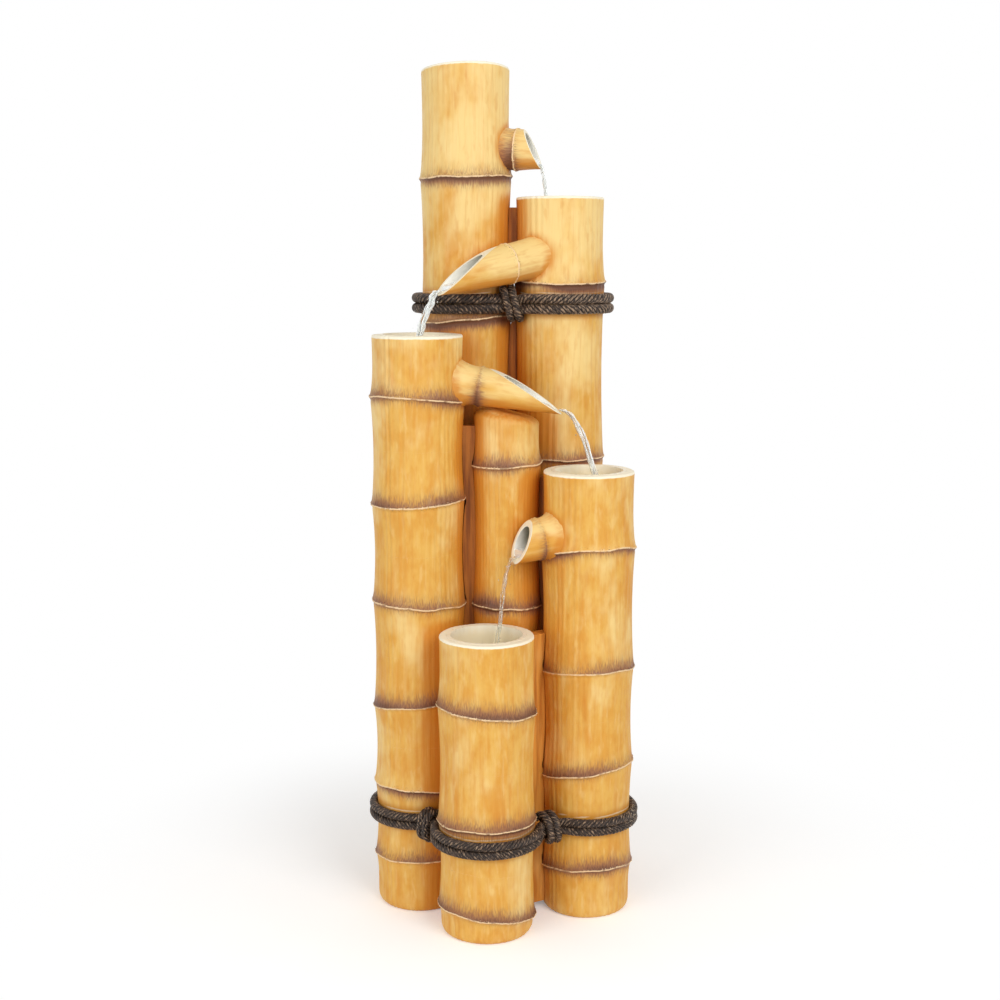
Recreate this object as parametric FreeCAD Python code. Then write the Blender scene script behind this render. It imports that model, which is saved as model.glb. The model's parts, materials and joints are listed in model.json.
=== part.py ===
import FreeCAD, Part
import math
import os

os.makedirs("parts", exist_ok=True)
V = FreeCAD.Vector
UP = V(0, 0, 1)

# Driving dimensions, in millimetres and degrees

# Heights: the header cane's rim, then how far each next rim lies below the one before
header_height = 1200.0
second_drop = 180.0
third_drop = 192.0
fourth_drop = 188.0
basin_drop = 216.0

# Cane section
cane_waist_radius = 62.5
basin_waist_radius = 64.5
filler_waist_radius = 46.0
node_swell = 3.5
bead_proud = 1.5
bead_half_height = 7.0
cane_wall = 12.5
rim_wall = 9.5
rim_flare = 1.0
rim_round = 2.5
foot_round = 8.0
foot_thickness = 10.0
filler_cap = 8.0
rim_margin = 30.0
profile_steps = 12

# Node heights above the ground
header_nodes = [70.0, 250.0, 445.0, 645.0, 843.0, 1045.0]
second_nodes = [60.0, 230.0, 430.0, 643.0, 896.0]
third_nodes = [79.0, 187.0, 307.0, 449.0, 592.0, 744.0]
fourth_nodes = [77.0, 216.0, 364.0, 535.0]
basin_nodes = [34.0, 161.0, 320.0]
filler_nodes = [90.0, 265.0, 444.0, 645.0]

# Plan: gaps between the widest rings of neighbouring canes
header_bearing = 118.8
header_filler_gap = 3.5
header_second_gap = 2.0
filler_second_gap = 8.8
header_third_gap = 2.0
filler_third_gap = 7.0
filler_fourth_gap = 2.8
second_fourth_gap = 7.0
filler_basin_gap = 1.0
third_basin_gap = 6.4

# Pool cups
cup_clearance = 0.3
cup_wall = 4.5
cup_floor = 5.0
cup_sill = 12.0
basin_cup_depth = 90.0

# Spouts: axis height below the rim, slope, swing off the line to the next cane, sideways shift
# to the left of the run, how far the tip stops short of the next cane's axis, radii at root and tip,
# bare root before the collar, lip from the collar to the slanting mouth, and roll of the mouth to the right
spout_wall = 5.0
spout_clearance = 0.3
collar_proud = 3.0
collar_half_width = 6.0
header_spout = {"drop": 113.0, "slope": 3.0, "swing": -10.0, "shift": 0.0, "setback": 24.0,
                "root": 29.0, "tip": 26.0, "stub": 1.0, "lip": 4.0, "roll": 0.0}
second_spout = {"drop": 88.0, "slope": 11.0, "swing": 5.0, "shift": 12.5, "setback": 11.0,
                "root": 28.0, "tip": 20.0, "stub": 23.5, "lip": 1.0, "roll": -8.0}
third_spout = {"drop": 68.0, "slope": 9.0, "swing": -0.5, "shift": 0.0, "setback": 35.0,
               "root": 27.0, "tip": 20.0, "stub": 10.7, "lip": 4.0, "roll": 12.0}
fourth_spout = {"drop": 91.0, "slope": 8.0, "swing": -6.8, "shift": 0.0, "setback": 46.0,
                "root": 29.0, "tip": 27.0, "stub": 1.0, "lip": 1.0, "roll": 0.0}
saddle_gap = 0.5

# Resin webs between the canes: the basin's web is placed from the back flank of the canes beside it
web_thickness = 20.0
filler_web_set_back = 18.0
basin_web_from_flank = 38.5
web_clearance = 0.3
web_drop = 15.0
web_foot = 10.0

# Ropes and knots
upper_rope_radius = 7.0
lower_rope_radius = 5.9
rope_clearance = 0.3
rope_strand_gap = 0.6
rope_dip_radius = 30.0
upper_rope_below_rim = 152.0
lower_rope_height = 140.0
knot_radius = 5.5
knot_ease = 1.4
knot_strand_gap = 0.8
knot_half_turns = 3

# Access door in the back of the header cane
door_bearing = 90.0
door_half_angle = 36.0
door_height = 140.0
door_above_rope = 24.0
door_clearance = 0.6
hinge_pin_radius = 2.0
hinge_pin_clearance = 0.05
hinge_barrel_radius = 5.0
hinge_standoff = 6.5
hinge_angle_past_edge = 2.5
hinge_leaf_length = 18.0
hinge_leaf_depth = 14.0
hinge_leaf_proud = 3.5
hinge_leaf_height = 12.0
hinge_inset = 30.0
hinge_face_gap = 0.4
leaf_clearance = 0.3
knob_stem_radius = 4.0
knob_head_radius = 9.0
knob_stem_length = 12.0
knob_head_depth = 7.0
knob_round = 2.3
knob_socket_depth = 6.0
knob_clearance = 0.2
knob_above_door_foot = 34.0
knob_bearing = 66.0
catch_height = 40.0
catch_plate_depth = 2.6
catch_plate_angle = 14.0
catch_magnet_depth = 6.0
catch_gap = 0.4
catch_seat_gap = 0.3
catch_edge_angle = 2.0
catch_root_angle = 8.0

# Cable grommet and drain plug, in the back wall of the header cane
grommet_above_door = 27.0
grommet_bore_radius = 4.0
grommet_body_radius = 9.0
grommet_flange_radius = 13.0
grommet_flange_depth = 3.5
grommet_clearance = 0.2
plug_height = 30.0
plug_radius = 8.0
plug_clearance = 0.4
plug_head_radius = 12.0
plug_head_depth = 6.0
plug_round = 1.5
plug_inner_length = 2.0

# Pump, standing on the floor of the header cane
pump_foot_height = 4.0
pump_foot_radius = 6.0
pump_foot_inset = 8.0
pump_length = 50.0
pump_width = 46.0
pump_height = 50.0
pump_edge_round = 5.0
rotor_well_radius = 12.5
rotor_well_depth = 40.0
rotor_radius = 11.0
rotor_end_gap = 1.0
shaft_radius = 1.5
shaft_clearance = 0.05
shaft_seat = 5.0
shaft_end_gap = 0.5
cover_radius = 22.0
cover_length = 16.0
volute_radius = 18.5
volute_depth = 9.0
intake_radius = 8.0
spider_width = 6.0
impeller_radius = 16.5
impeller_disc = 2.0
impeller_gap = 1.0
blade_count = 6
blade_thickness = 2.0
blade_root = 4.0
outlet_radius = 7.0
outlet_bore_radius = 4.5
outlet_height = 52.0
outlet_set_forward = 1.0
strainer_radius = 20.0
strainer_length = 10.0
strainer_wall = 2.0
strainer_slots = 10
strainer_slot_width = 3.0
dial_radius = 9.0
dial_depth = 3.5
dial_stub_radius = 3.0
dial_clearance = 0.05
dial_face_gap = 0.3
dial_grip_depth = 2.0
dial_grip_width = 4.0
dial_wall_gap = 4.2

# Riser hose and its fitting in the floor of the header cup
hose_wall = 2.5
hose_clearance = 0.2
hose_overlap = 22.0
clamp_thickness = 1.5
clamp_width = 8.0
clamp_lug = 6.0
clamp_clearance = 0.2
fitting_thread_radius = 8.0
fitting_clearance = 0.3
fitting_flange_radius = 14.0
fitting_flange_depth = 4.0
fitting_seal_depth = 2.0
fitting_nut_radius = 13.0
fitting_nut_depth = 7.0
fitting_tail_gap = 3.0
fitting_tail_length = 22.0

# Return pipes near the ground and the strainer in the basin
return_pipe_height = 45.0
return_pipe_radius = 12.0
return_pipe_wall = 3.0
return_pipe_clearance = 0.3
return_pipe_inside = 4.0
drain_radius = 14.0
basin_strainer_radius = 22.0
basin_strainer_depth = 3.0
basin_strainer_skirt = 10.0
basin_strainer_clearance = 0.5
basin_strainer_seat_gap = 0.3
basin_strainer_hole_radius = 2.5
basin_strainer_hole_ring = 7.7
basin_strainer_holes = 8
basin_strainer_knob_radius = 4.0
basin_strainer_knob_height = 12.0

second_height = header_height - second_drop
third_height = second_height - third_drop
fourth_height = third_height - fourth_drop
basin_height = fourth_height - basin_drop


def on_profile(radius, height):
    return V(radius, 0, height)


def arc(first, middle, last):
    return Part.Arc(first, middle, last).toShape()


def lines(points):
    return [Part.makeLine(a, b) for a, b in zip(points, points[1:])]


def closed_lines(points):
    return lines(points + points[:1])


def revolve(edges):
    return Part.Face(Part.Wire(edges)).revolve(V(0, 0, 0), UP, 360)


def polar(angle, radius=1.0):
    turn = math.radians(angle)
    return V(radius * math.cos(turn), radius * math.sin(turn), 0)


def export(name, solids):
    shape = solids if isinstance(solids, Part.Shape) else Part.makeCompound(solids)
    shape.exportStep("parts/%s.step" % name)
    print(name, len(shape.Solids), "solid(s)", round(shape.Volume / 1000.0, 2), "cm3")


# Canes: turned shells with hollow stretches between swollen, beaded nodes
class Cane:
    def __init__(self, height, waist, nodes, cup_depth=0.0):
        self.height = height
        self.waist = waist
        self.node_radius = waist + node_swell
        self.reach = self.node_radius + bead_proud
        self.rim_radius = waist + rim_flare
        self.inner = waist - cane_wall
        self.bore = waist - rim_wall
        self.cup_outer = self.bore - cup_clearance
        self.cup_inner = self.cup_outer - cup_wall
        self.nodes = [z for z in nodes if z < height - rim_margin]
        self.floor = height - cup_depth
        self.ledge = self.floor - cup_floor
        self.place = V(0, 0, 0)

    def at(self, height):
        return self.place + V(0, 0, height)

    def stretches(self):
        heights = [foot_round]
        radii = [self.waist]
        for node in self.nodes:
            heights += [node - bead_half_height, node + bead_half_height]
            radii += [self.node_radius, self.node_radius]
        heights.append(self.height - rim_round)
        radii.append(self.rim_radius)
        ends = list(zip(heights, radii))
        return list(zip(ends[0::2], ends[1::2]))

    def radius_at(self, height):
        for node in self.nodes:
            off = (height - node) / bead_half_height
            if abs(off) <= 1:
                return self.node_radius + bead_proud * (1 - off * off)
        for (z0, r0), (z1, r1) in self.stretches():
            if z0 <= height <= z1:
                t = (height - z0) / (z1 - z0)
                return r0 * (1 - t) * (1 - 2 * t) + self.waist * 4 * t * (1 - t) + r1 * t * (2 * t - 1)
        return self.rim_radius

    def widest(self, low, high):
        steps = [step / profile_steps for step in range(profile_steps + 1)]
        return max(self.radius_at(low + (high - low) * share) for share in steps)

    def outline(self, grow=0.0):
        dip = foot_round * (1 - math.sqrt(0.5))
        edges = [arc(on_profile(self.waist - foot_round + grow, 0),
                     on_profile(self.waist - dip + grow, dip),
                     on_profile(self.waist + grow, foot_round))]
        spans = self.stretches()
        for index, ((z0, r0), (z1, r1)) in enumerate(spans):
            edges.append(arc(on_profile(r0 + grow, z0),
                             on_profile(self.waist + grow, (z0 + z1) / 2),
                             on_profile(r1 + grow, z1)))
            if index < len(self.nodes):
                node = self.nodes[index]
                edges.append(arc(on_profile(self.node_radius + grow, node - bead_half_height),
                                 on_profile(self.reach + grow, node),
                                 on_profile(self.node_radius + grow, node + bead_half_height)))
        lip = rim_round * (1 - math.sqrt(0.5))
        edges.append(arc(on_profile(self.rim_radius + grow, self.height - rim_round),
                         on_profile(self.rim_radius - lip + grow, self.height - lip),
                         on_profile(self.rim_radius - rim_round + grow, self.height)))
        return edges

    def closed(self, inside, grow=0.0):
        start = on_profile(self.rim_radius - rim_round + grow, self.height)
        end = on_profile(self.waist - foot_round + grow, 0)
        solid = revolve(self.outline(grow) + lines([start] + inside + [end]))
        solid.translate(self.place)
        return solid

    def envelope(self, grow):
        return self.closed([on_profile(0, self.height), on_profile(0, 0)], grow)

    def pool_shell(self):
        return self.closed([on_profile(self.bore, self.height), on_profile(self.bore, self.ledge),
                            on_profile(self.inner, self.ledge), on_profile(self.inner, foot_thickness),
                            on_profile(0, foot_thickness), on_profile(0, 0)])

    def capped_shell(self):
        under_cap = self.height - filler_cap
        return self.closed([on_profile(0, self.height), on_profile(0, under_cap),
                            on_profile(self.inner, under_cap), on_profile(self.inner, foot_thickness),
                            on_profile(0, foot_thickness), on_profile(0, 0)])


def pool_cane(height, nodes, spout):
    return Cane(height, cane_waist_radius, nodes, spout["drop"] + spout["root"] + cup_sill)


header = pool_cane(header_height, header_nodes, header_spout)
second = pool_cane(second_height, second_nodes, second_spout)
third = pool_cane(third_height, third_nodes, third_spout)
fourth = pool_cane(fourth_height, fourth_nodes, fourth_spout)
basin = Cane(basin_height, basin_waist_radius, basin_nodes, basin_cup_depth)
filler_reach = filler_waist_radius + node_swell + bead_proud


def spacing(reach_a, reach_b, gap):
    return reach_a + reach_b + gap


def meet(place_a, far_a, place_b, far_b):
    """The point at far_a from place_a and far_b from place_b, to the right of a line from a to b."""
    run = place_b - place_a
    along = (far_a ** 2 - far_b ** 2 + run.Length ** 2) / (2 * run.Length)
    aside = math.sqrt(far_a ** 2 - along ** 2)
    run.normalize()
    return place_a + run * along + V(run.y, -run.x, 0) * aside


# The filler cane's axis is the origin, and each other cane is set by its gaps to two neighbours
middle = V(0, 0, 0)
header.place = polar(header_bearing, spacing(filler_reach, header.reach, header_filler_gap))
second.place = meet(middle, spacing(filler_reach, second.reach, filler_second_gap),
                    header.place, spacing(header.reach, second.reach, header_second_gap))
third.place = meet(header.place, spacing(header.reach, third.reach, header_third_gap),
                   middle, spacing(filler_reach, third.reach, filler_third_gap))
fourth.place = meet(middle, spacing(filler_reach, fourth.reach, filler_fourth_gap),
                    second.place, spacing(second.reach, fourth.reach, second_fourth_gap))
basin.place = meet(third.place, spacing(third.reach, basin.reach, third_basin_gap),
                   middle, spacing(filler_reach, basin.reach, filler_basin_gap))


# Spouts: tapered branch stubs with a collar, cut on a slant so that the mouth opens upwards
class Spout:
    def __init__(self, source, target, sizes):
        slope = math.radians(sizes["slope"])
        run = target.place - source.place
        bearing = math.degrees(math.atan2(run.y, run.x)) + sizes["swing"]
        level = polar(bearing)
        self.source = source
        self.root = sizes["root"]
        self.tip = sizes["tip"]
        self.slope = slope
        self.along = level * math.cos(slope) - UP * math.sin(slope)
        self.rise = level * math.sin(slope) + UP * math.cos(slope)
        self.side = self.along.cross(self.rise)
        roll = math.radians(sizes["roll"])
        self.mouth_top = self.rise * math.cos(roll) + self.side * math.sin(roll)
        self.start = source.at(source.height - sizes["drop"] + source.waist * math.tan(slope))
        self.start = self.start - self.side * sizes["shift"]
        self.spread = self.root + abs(sizes["shift"])
        clear_of_cane = source.reach + self.root * math.sin(slope) + sizes["stub"]
        self.collar = clear_of_cane / math.cos(slope) + collar_half_width
        self.mouth = self.collar + collar_half_width + sizes["lip"]
        self.end = (run.Length - sizes["setback"]) / math.cos(slope)

    def radius_at(self, distance):
        taper_start = self.collar + collar_half_width
        share = (distance - taper_start) / (self.end - taper_start)
        return self.root + (self.tip - self.root) * max(0.0, share)

    def point(self, distance, lift=0.0):
        return self.start + self.along * distance + self.rise * lift

    def turned(self):
        before = self.collar - collar_half_width
        after = self.collar + collar_half_width
        inside = math.sqrt(self.source.cup_inner ** 2 - self.spread ** 2) - self.root * math.tan(self.slope)
        edges = lines([on_profile(self.root, inside), on_profile(self.root, before)])
        edges.append(arc(on_profile(self.root, before),
                         on_profile(self.root + collar_proud, self.collar),
                         on_profile(self.root, after)))
        edges += lines([on_profile(self.root, after), on_profile(self.tip, self.end),
                        on_profile(self.tip - spout_wall, self.end),
                        on_profile(self.root - spout_wall, after),
                        on_profile(self.root - spout_wall, inside), on_profile(self.root, inside)])
        tube = revolve(edges)
        seam_below = FreeCAD.Rotation(self.rise * -1.0, self.side, self.along, "ZXY")
        tube.Placement = FreeCAD.Placement(self.start, seam_below)
        return tube

    def solid(self):
        top = self.point(self.mouth) + self.mouth_top * self.radius_at(self.mouth)
        low = self.point(self.end) - self.mouth_top * self.tip
        normal = self.along.cross(self.mouth_top).cross(low - top)
        if normal.dot(UP) < 0:
            normal = normal * -1.0
        block = Part.makeBox(2 * self.end, 2 * self.end, self.end, V(-self.end, -self.end, 0))
        block.Placement = FreeCAD.Placement(top, FreeCAD.Rotation(UP, normal))
        pool = Part.makeCylinder(self.source.cup_inner, self.source.height, self.source.place)
        return self.turned().cut(block).cut(pool)

    def hole(self):
        return Part.makeCylinder(self.root + spout_clearance, self.collar - collar_half_width,
                                 self.start, self.along)

    def envelope(self):
        return Part.makeCylinder(self.root + collar_proud + spout_clearance, self.end, self.start, self.along)


spout_pairs = {
    "header": Spout(header, second, header_spout),
    "second": Spout(second, third, second_spout),
    "third": Spout(third, fourth, third_spout),
    "fourth": Spout(fourth, basin, fourth_spout),
}


# The filler cane stops just under the third spout, which passes over it
def filler_top():
    spout = spout_pairs["third"]
    far_side = third.place.Length + filler_reach
    under = spout.point(far_side / math.cos(spout.slope), -spout.root / math.cos(spout.slope))
    return under.z - saddle_gap


filler = Cane(filler_top(), filler_waist_radius, filler_nodes)


# Return pipes: from the basin through the filler cane to the header cane, near the ground
class ReturnPipe:
    def __init__(self, source, target):
        run = target.place - source.place
        self.along = run * (1.0 / run.Length)
        self.start = source.at(return_pipe_height) + self.along * (source.inner - return_pipe_inside)
        self.length = run.Length - source.inner - target.inner + 2 * return_pipe_inside

    def solid(self):
        outer = Part.makeCylinder(return_pipe_radius, self.length, self.start, self.along)
        bore = Part.makeCylinder(return_pipe_radius - return_pipe_wall, self.length, self.start, self.along)
        return outer.cut(bore)

    def hole(self):
        return Part.makeCylinder(return_pipe_radius + return_pipe_clearance, self.length,
                                 self.start, self.along)


front_pipe = ReturnPipe(basin, filler)
rear_pipe = ReturnPipe(filler, header)
export("return_pipe_front", front_pipe.solid())
export("return_pipe_rear", rear_pipe.solid())

# Access door: a piece of the header cane's back wall, swung on two pintles
lower_band_top = lower_rope_height + 2 * lower_rope_radius + rope_strand_gap / 2
door_foot = lower_band_top + door_above_rope
door_head = door_foot + door_height
door_clear_angle = math.degrees(door_clearance / header.inner)


def sector(inner, outer, low, high, from_angle, to_angle):
    """A ring piece about the header cane's axis, between two bearings and two heights."""
    ring = Part.makeCylinder(outer, high - low, V(0, 0, low), UP, to_angle - from_angle)
    if inner > 0:
        ring = ring.cut(Part.makeCylinder(inner, high - low, V(0, 0, low)))
    ring.rotate(V(0, 0, 0), UP, from_angle)
    ring.translate(header.place)
    return ring


wall_outside = header.reach + foot_round
door_window = sector(0, wall_outside, door_foot, door_head,
                     door_bearing - door_half_angle, door_bearing + door_half_angle)
door_block = sector(0, wall_outside, door_foot + door_clearance, door_head - door_clearance,
                    door_bearing - door_half_angle + door_clear_angle,
                    door_bearing + door_half_angle - door_clear_angle)


def spoke(bearing, height, radius, near, far):
    """A round bar along a bearing from the header cane's axis."""
    out = polar(bearing)
    return Part.makeCylinder(radius, far - near, header.at(height) + out * near, out)


# Door knob
knob_height = door_foot + knob_above_door_foot
knob_face = header.widest(knob_height - knob_head_radius, knob_height + knob_head_radius)
knob_inner = knob_face - knob_socket_depth
knob = spoke(knob_bearing, knob_height, knob_stem_radius, knob_inner, knob_face + knob_stem_length)
knob_end = knob_face + knob_stem_length + knob_head_depth
knob_head = spoke(knob_bearing, knob_height, knob_head_radius, knob_face + knob_stem_length, knob_end)
knob_head = knob_head.makeFillet(knob_round, knob_head.Edges)
export("door_knob", knob.fuse(knob_head).removeSplitter())
knob_socket = spoke(knob_bearing, knob_height, knob_stem_radius + knob_clearance,
                    knob_inner - knob_clearance, wall_outside)

# Cable grommet and drain plug
grommet_height = door_head + grommet_above_door
grommet_face = header.widest(grommet_height - grommet_flange_radius, grommet_height + grommet_flange_radius)
grommet_face += grommet_clearance
grommet_inside = math.sqrt(header.inner ** 2 - grommet_flange_radius ** 2) - grommet_clearance
grommet = spoke(door_bearing, grommet_height, grommet_body_radius,
                grommet_inside - grommet_flange_depth, grommet_face + grommet_flange_depth)
for near in (grommet_inside - grommet_flange_depth, grommet_face):
    flange = spoke(door_bearing, grommet_height, grommet_flange_radius, near, near + grommet_flange_depth)
    grommet = grommet.fuse(flange)
grommet = grommet.removeSplitter()
grommet_bore = spoke(door_bearing, grommet_height, grommet_bore_radius, 0, wall_outside)
export("cable_grommet", grommet.cut(grommet_bore))
grommet_hole = spoke(door_bearing, grommet_height, grommet_body_radius + grommet_clearance, 0, wall_outside)

plug_face = header.widest(plug_height - plug_head_radius, plug_height + plug_head_radius) + plug_clearance
plug = spoke(door_bearing, plug_height, plug_radius, header.inner - plug_inner_length, plug_face)
plug_head = spoke(door_bearing, plug_height, plug_head_radius, plug_face, plug_face + plug_head_depth)
plug_head = plug_head.makeFillet(plug_round, plug_head.Edges)
export("drain_plug", plug.fuse(plug_head).removeSplitter())
plug_hole = spoke(door_bearing, plug_height, plug_radius + plug_clearance, 0, wall_outside)

# Cane shells, with the holes that spouts, pipes, grommet, plug and door need
header_shell = header.pool_shell()
access_door = header_shell.common(door_block).cut(knob_socket)
header_shell = header_shell.cut(Part.makeCompound([door_window]))
header_shell = header_shell.cut(spout_pairs["header"].hole()).cut(rear_pipe.hole())
header_shell = header_shell.cut(grommet_hole).cut(plug_hole)
export("header_cane", header_shell)
export("access_door", access_door)
export("second_cane", second.pool_shell().cut(spout_pairs["second"].hole()))
export("third_cane", third.pool_shell().cut(spout_pairs["third"].hole()))
export("fourth_cane", fourth.pool_shell().cut(spout_pairs["fourth"].hole()))
export("basin_cane", basin.pool_shell().cut(front_pipe.hole()))
export("filler_cane", filler.capped_shell().cut(front_pipe.hole()).cut(rear_pipe.hole()))
for name, spout in spout_pairs.items():
    export(name + "_spout", spout.solid())


# Pool cups, each standing on the ledge inside its cane
def cup(cane):
    solid = revolve(closed_lines([on_profile(0, cane.ledge), on_profile(cane.cup_outer, cane.ledge),
                                  on_profile(cane.cup_outer, cane.height),
                                  on_profile(cane.cup_inner, cane.height),
                                  on_profile(cane.cup_inner, cane.floor), on_profile(0, cane.floor)]))
    solid.translate(cane.place)
    return solid


def stand(cane, height, radius, length, offset=0.0):
    return Part.makeCylinder(radius, length, cane.at(height) + V(offset, 0, 0))


def ring(cane, height, inner, outer, length, offset=0.0):
    return stand(cane, height, outer, length, offset).cut(stand(cane, height, inner, length, offset))


# Where the pump stands: its dial keeps a gap to the cane's wall, and the outlet rises in front of the housing
pump_nose = cover_length + strainer_length + dial_face_gap + dial_depth + dial_grip_depth
pump_front = header.inner - dial_wall_gap - pump_nose
pump_back = pump_front - pump_length
outlet_offset = pump_front + outlet_radius + outlet_set_forward
thread_hole = fitting_thread_radius + fitting_clearance
fitting_hole = stand(header, header.ledge, thread_hole, cup_floor, outlet_offset)
export("header_cup", cup(header).cut(spout_pairs["header"].hole()).cut(fitting_hole))
export("second_cup", cup(second).cut(spout_pairs["second"].hole()))
export("third_cup", cup(third).cut(spout_pairs["third"].hole()))
export("fourth_cup", cup(fourth).cut(spout_pairs["fourth"].hole()))
export("basin_cup", cup(basin).cut(stand(basin, basin.ledge, drain_radius, cup_floor)))

# Strainer that lifts out of the basin's drain
strainer_seat = basin.floor + basin_strainer_seat_gap
strainer_disc = stand(basin, strainer_seat, basin_strainer_radius, basin_strainer_depth)
skirt_radius = drain_radius - basin_strainer_clearance
strainer_skirt = ring(basin, strainer_seat - basin_strainer_skirt, skirt_radius - basin_strainer_depth,
                      skirt_radius, basin_strainer_skirt)
strainer_knob = stand(basin, strainer_seat, basin_strainer_knob_radius,
                      basin_strainer_depth + basin_strainer_knob_height)
basin_strainer = strainer_disc.fuse(strainer_skirt).fuse(strainer_knob)
for index in range(basin_strainer_holes):
    off = polar(360.0 / basin_strainer_holes * index, basin_strainer_hole_ring)
    drill = stand(basin, strainer_seat, basin_strainer_hole_radius, basin_strainer_depth)
    drill.translate(off)
    basin_strainer = basin_strainer.cut(drill)
export("basin_strainer", basin_strainer.removeSplitter())


# Door hinge: pintles on the cane and gudgeons on the door
hinge_bearing = door_bearing + door_half_angle + hinge_angle_past_edge
hinge_out = polar(hinge_bearing, header.reach + hinge_standoff)
hinge_heights = [door_foot + hinge_inset, door_head - hinge_inset]
header_skin = header.envelope(leaf_clearance)


def hinge_leaf(low, toward_door):
    """A leaf on the cane's surface with the barrel that it carries, about the hinge axis."""
    left = 0.0 if toward_door else -hinge_leaf_length
    leaf = Part.makeBox(hinge_leaf_length, hinge_leaf_depth + hinge_leaf_proud, hinge_leaf_height,
                        V(left, -hinge_leaf_depth, 0))
    leaf.rotate(V(0, 0, 0), UP, hinge_bearing - 90.0)
    leaf.translate(header.at(low) + hinge_out)
    barrel = Part.makeCylinder(hinge_barrel_radius, hinge_leaf_height, header.at(low) + hinge_out)
    return leaf.cut(header_skin).fuse(barrel).removeSplitter()


pintles = []
gudgeons = []
for height in hinge_heights:
    pin_foot = header.at(height - hinge_leaf_height) + hinge_out
    pin = Part.makeCylinder(hinge_pin_radius, 2 * hinge_leaf_height, pin_foot)
    pintles.append(hinge_leaf(height - hinge_leaf_height, False).fuse(pin).removeSplitter())
    eye = Part.makeCylinder(hinge_pin_radius + hinge_pin_clearance, 2 * hinge_leaf_height,
                            header.at(height) + hinge_out)
    gudgeons.append(hinge_leaf(height + hinge_face_gap, True).cut(eye))
export("hinge_pintles", pintles)
export("door_gudgeons", gudgeons)

# Magnetic catch at the door's free edge
catch_low = (door_foot + door_head - catch_height) / 2
catch_high = catch_low + catch_height
free_edge = door_bearing - door_half_angle
plate_out = header.inner - catch_seat_gap
plate_in = plate_out - catch_plate_depth
plate_from = free_edge + catch_edge_angle
plate_to = plate_from + catch_plate_angle
export("catch_plate", sector(plate_in, plate_out, catch_low, catch_high, plate_from, plate_to))
magnet_out = plate_in - catch_gap
magnet_in = magnet_out - catch_magnet_depth
magnet_nose = sector(magnet_in, magnet_out, catch_low, catch_high, free_edge - catch_root_angle, plate_to)
magnet_root = sector(magnet_in, plate_out, catch_low, catch_high,
                     free_edge - catch_root_angle, free_edge - catch_edge_angle / 2)
export("catch_magnet", magnet_nose.fuse(magnet_root).removeSplitter())

# Pump: housing, cover with volute and outlet, shaft, rotor, strainer cap and flow dial
pump_low = foot_thickness + pump_foot_height
pump_axis = pump_low + pump_height / 2
cover_front = pump_front + cover_length


def pump_bar(radius, near, far):
    """A round bar along the rotor axis, between two distances from the header cane's axis."""
    return Part.makeCylinder(radius, far - near, header.at(pump_axis) + V(near, 0, 0), V(1, 0, 0))


def pump_box(near, far, half_width, half_height):
    corner = header.at(pump_axis) + V(near, -half_width, -half_height)
    return Part.makeBox(far - near, 2 * half_width, 2 * half_height, corner)


housing = pump_box(pump_back, pump_front, pump_width / 2, pump_height / 2)
upright = [edge for edge in housing.Edges if abs(edge.BoundBox.ZLength - pump_height) < 0.01]
housing = housing.makeFillet(pump_edge_round, upright)
well_back = pump_front - rotor_well_depth
housing = housing.cut(pump_bar(rotor_well_radius, well_back, pump_front))
shaft_hole_radius = shaft_radius + shaft_clearance
export("pump_housing", housing.cut(pump_bar(shaft_hole_radius, well_back - shaft_seat, well_back)))

volute_front = pump_front + volute_depth
cover = pump_bar(cover_radius, pump_front, cover_front)
outlet_top = pump_axis + outlet_height
outlet_low = pump_axis + volute_radius
bore_low = outlet_low - outlet_bore_radius
outlet = stand(header, outlet_low, outlet_radius, outlet_top - outlet_low, outlet_offset)
cover = cover.fuse(outlet).cut(pump_bar(volute_radius, pump_front, volute_front))
cover = cover.cut(stand(header, bore_low, outlet_bore_radius, outlet_top - bore_low, outlet_offset))
spider = pump_box(volute_front, cover_front, spider_width / 2, intake_radius)
cover = cover.cut(pump_bar(intake_radius, volute_front, cover_front).cut(spider))
export("pump_cover", cover.cut(pump_bar(shaft_hole_radius, volute_front, cover_front)))
export("rotor_shaft", pump_bar(shaft_radius, well_back - shaft_seat + shaft_end_gap,
                               cover_front - shaft_end_gap))

disc_back = pump_front + impeller_gap
disc_front = disc_back + impeller_disc
blade_front = volute_front - impeller_gap
impeller = pump_bar(rotor_radius, well_back + rotor_end_gap, disc_back)
impeller = impeller.fuse(pump_bar(impeller_radius, disc_back, disc_front))
impeller = impeller.fuse(pump_bar(blade_root, disc_front, blade_front))
for index in range(blade_count):
    blade = pump_box(disc_front, blade_front, blade_thickness / 2, impeller_radius / 2)
    blade.translate(V(0, 0, impeller_radius / 2))
    blade = blade.common(pump_bar(impeller_radius, disc_front, blade_front))
    blade.rotate(header.at(pump_axis), V(1, 0, 0), 360.0 / blade_count * index)
    impeller = impeller.fuse(blade)
impeller = impeller.removeSplitter()
export("impeller", impeller.cut(pump_bar(shaft_hole_radius, pump_back, cover_front)))

strainer_front = cover_front + strainer_length
cap = pump_bar(strainer_radius, cover_front, strainer_front)
cap = cap.cut(pump_bar(strainer_radius - strainer_wall, cover_front, strainer_front - strainer_wall))
for index in range(strainer_slots):
    slot = pump_box(cover_front + strainer_wall, strainer_front - 2 * strainer_wall,
                    strainer_slot_width / 2, strainer_radius / 2)
    slot.translate(V(0, 0, strainer_radius))
    slot.rotate(header.at(pump_axis), V(1, 0, 0), 360.0 / strainer_slots * index)
    cap = cap.cut(slot)
export("intake_strainer", cap.cut(pump_bar(dial_stub_radius + dial_clearance, cover_front, strainer_front)))

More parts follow.
